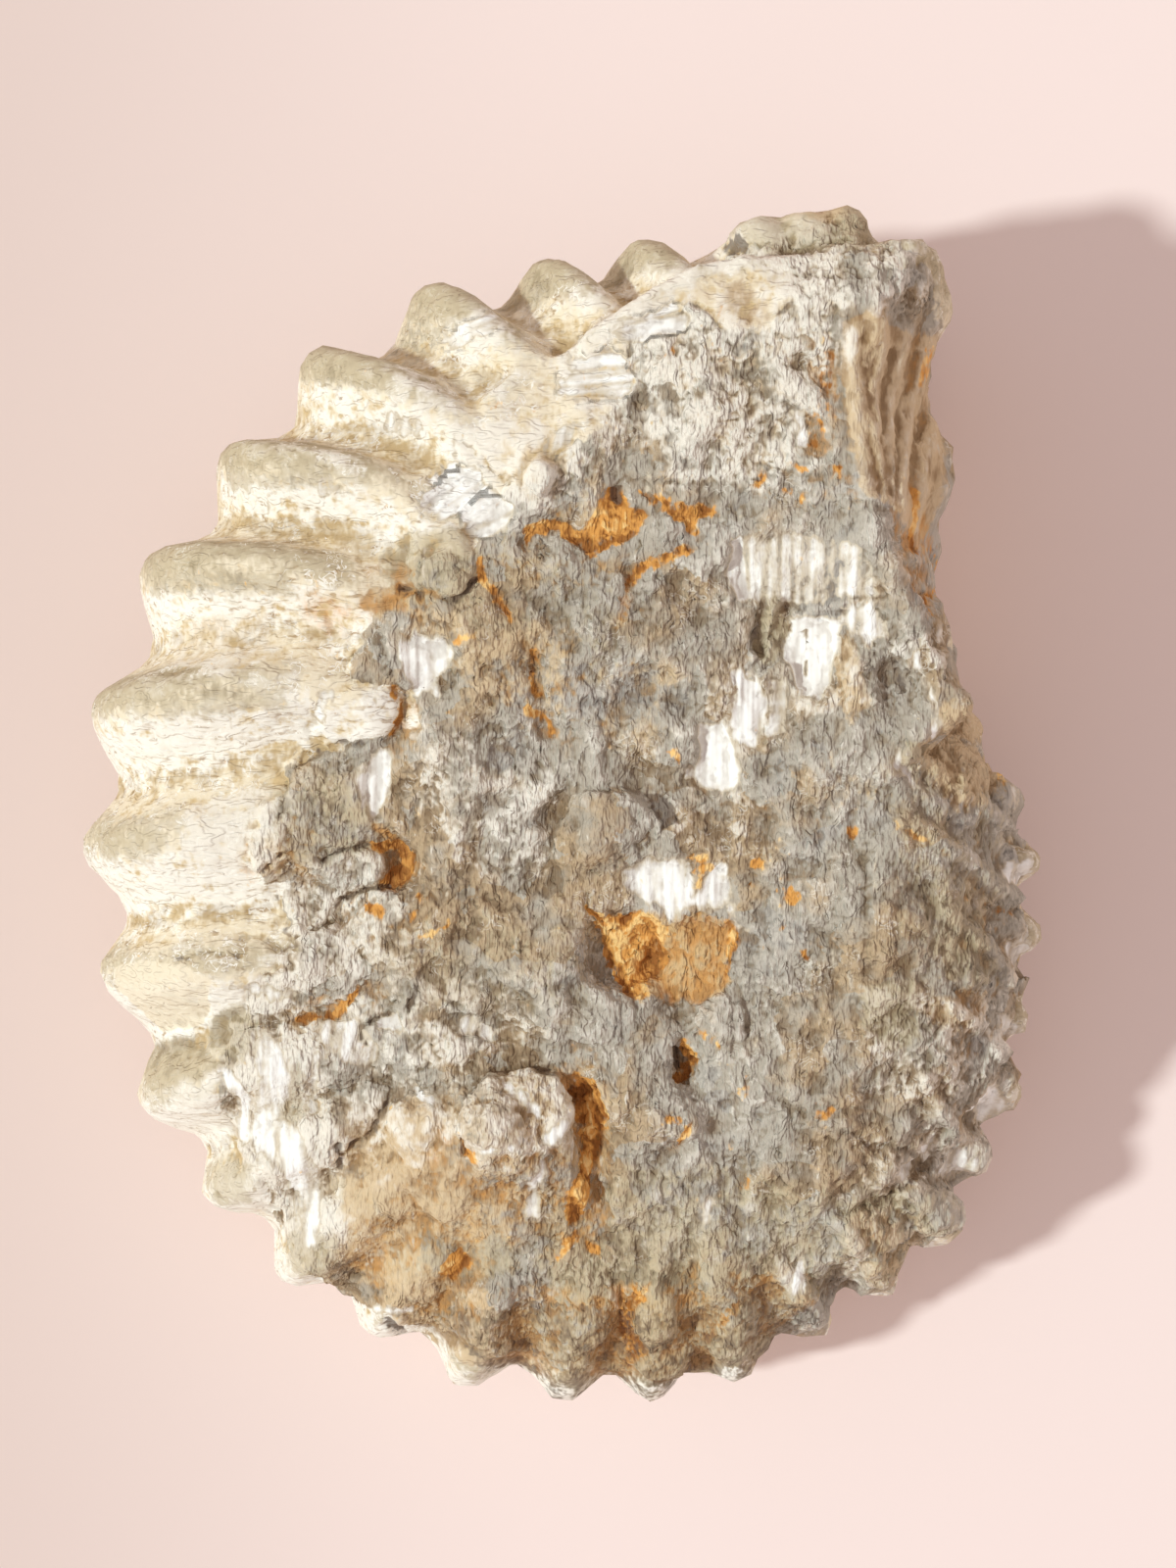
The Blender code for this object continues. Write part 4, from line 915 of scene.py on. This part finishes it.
    # films over both, from the widest to the smallest
    base = rock.colour(whorl, bare)
    # plain cream, darker on the sides turned from the light: painted shade
    plain = (mask("plain") + rim * 0.5).between(0.3, 0.6) * 0.85
    base = plain.colour(base, (grain * 0.3 + blotch * 0.3 - shadedSide * 0.3).between(-1.2, 0.1).colour(
        "creamDark", "cream"))
    filmAndShade = (mask("olive") + rim * 0.9 + mottle * 0.12).between(0.2, 0.6) * 0.8
    base = filmAndShade.colour(base, tone.between(-0.35, 0.3).colour("oliveFilm", "oliveEdge"))
    clay = (mask("tan") + rim + mottle * 0.12).between(0.25, 0.7)
    base = (clay * 0.85).colour(base, (tone + mottle * 0.2).between(-0.35, 0.3).colour("clayDark", "clay"))
    ochre = (stain + rim * 0.8 - worn * 0.15).between(0.3, 0.85)
    base = (ochre * 0.65).colour(base, (tone - blotch * 0.2).between(-0.3, 0.3).colour("rust", "ochre"))
    pale = (mask("bloom") + blotch * 0.4 + mottle * 0.2 + grain * 0.15 + worn * 0.2).between(0.3, 0.8)
    base = (pale * (1 - filmAndShade * 0.8) * 0.85).colour(base, tone.between(-0.7, 0.2).colour("clay", "bloom"))
    base = ((mask("ridge") + grain * 0.15).between(0.35, 0.9) * 0.5).colour(base, "bloom")

    # shell scars, with fibres that run their own way
    turn = mask("fibreTurn")
    px = start.node("ShaderNodeSeparateXYZ", {0: where})
    py = px.beside(1)
    sine, cosine = turn.sum("SINE", turn), turn.sum("COSINE", turn)
    across = px * sine - py * cosine
    along = px * cosine + py * sine
    lined = start.node("ShaderNodeCombineXYZ", {0: across, 1: along * 0.1, 2: 0.0})
    fibres = cloud(1.3, 1, 0.6, place=lined)
    inScar = mask("chalk")
    scar = (inScar + rim * 0.9 + fibres * 0.4).between(0.3, 0.52)
    base = scar.colour(base, (fibres * 0.6 + blotch * 0.3 + (inScar - 0.75) * 1.6).between(-0.5, 0.2).colour(
        "shellShade", "shell"))

    rusty = (mask("rust") + rim * 1.5).between(0.34, 0.72)
    rustTone = tone + blotch * 0.2
    rusted = rustTone.between(-0.5, 0.0).colour("rustDark", "rust")
    rusted = rustTone.between(0.1, 0.5).colour(rusted, "rustPale")
    base = rusty.colour(base, rusted)

    # the dark marks: painted shade in cracks, hollows, grooves and at the feet of raised blocks
    hollow = (mask("dark") + rim * 0.9).between(0.34, 0.7) * 0.75
    base = hollow.colour(base, "filmAndShade")
    # umber in the small hollows of the fine relief: painted shade
    cavity = (0.0 - worn - grain * 0.25).between(0.3, 1.1) * 0.35 * (1 - rusty * 0.6)
    base = cavity.colour(base, "umber")

    rough = inRock * (1 - mask("calm") * 0.7) * (1 - inScar)
    height = (flake * 0.55 + splinter * 0.3) * rough + wrinkle * 0.3 * (1 - inRock) + fibres * 0.18 * inScar
    bumped = start.node("ShaderNodeBump", {"Strength": 1.0, "Distance": mm, "Height": height})
    start.coat({
        "Base Color": base, "Roughness": 0.86 + grain * 0.04, "Normal": bumped, "Specular IOR Level": 0.25})
    return made


ammonite = weathered()
ammonite.data.materials.clear()
ammonite.data.materials.append(stoneFinish())
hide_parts("ammonite")
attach(ammonite, "root")
print("stone finished")

studio = {
    "floorHalf": 2.5,  # metres
    "floorParts": 8,
    "sun": 2.1, "sunSoft": 4.5, "sunHeight": 46.0, "sunTurn": 8.5,
    "sunTint": (0.90, 1.03, 1.05), "sky": (0.61, 0.535, 0.53),
    "eye": (0.0032, 0.0041, 0.62865), "lens": 102.5, "nearest": 0.01, "furthest": 20,
}


def studioRoom():
    shape = bmesh.new()
    bmesh.ops.create_grid(shape, x_segments=studio["floorParts"], y_segments=studio["floorParts"],
                          size=studio["floorHalf"])
    sheet = bpy.data.meshes.new("floor")
    shape.to_mesh(sheet)
    shape.free()
    floor = placed("floor", sheet)
    paper, start = blank("matt paper")
    where = start.node("ShaderNodeTexCoord", output=3)
    tooth = start.node("ShaderNodeTexNoise", {"Vector": where, "Scale": 900.0, "Detail": 3.0})
    side = start.node("ShaderNodeSeparateXYZ", {0: where})
    shade = (0.0 - side).between(-0.02, 0.11) * 0.8
    start.coat({"Base Color": shade.colour("floor", "floorLeft"),
                "Roughness": 0.92 + (tooth - 0.5) * 0.1, "Specular IOR Level": 0.1})
    sheet.materials.append(paper)

    lamp = bpy.data.lights.new("window", "SUN")
    lamp.energy = studio["sun"]
    lamp.angle = math.radians(studio["sunSoft"])
    lamp.color = studio["sunTint"]
    holder = placed("window", lamp)
    height, turn = math.radians(studio["sunHeight"]), math.radians(studio["sunTurn"])
    ray = Vector((math.cos(turn) * math.cos(height), math.sin(turn) * math.cos(height), -math.sin(height)))
    holder.rotation_mode = "QUATERNION"
    holder.rotation_quaternion = ray.to_track_quat("-Z", "Y")

    world = bpy.data.worlds.new("room")
    world.use_nodes = True
    backing = world.node_tree.nodes["Background"]
    backing.inputs["Color"].default_value = (*studio["sky"], 1)
    backing.inputs["Strength"].default_value = 1.0
    bpy.context.scene.world = world
    bpy.context.scene.view_settings.view_transform = "Standard"
    bpy.context.scene.view_settings.look = "None"

    eye = bpy.data.cameras.new("eye")
    eye.lens = studio["lens"]
    eye.clip_start = studio["nearest"]
    eye.clip_end = studio["furthest"]
    stand = placed("eye", eye)
    stand.location = studio["eye"]
    bpy.context.scene.camera = stand


studioRoom()
print("room ready")
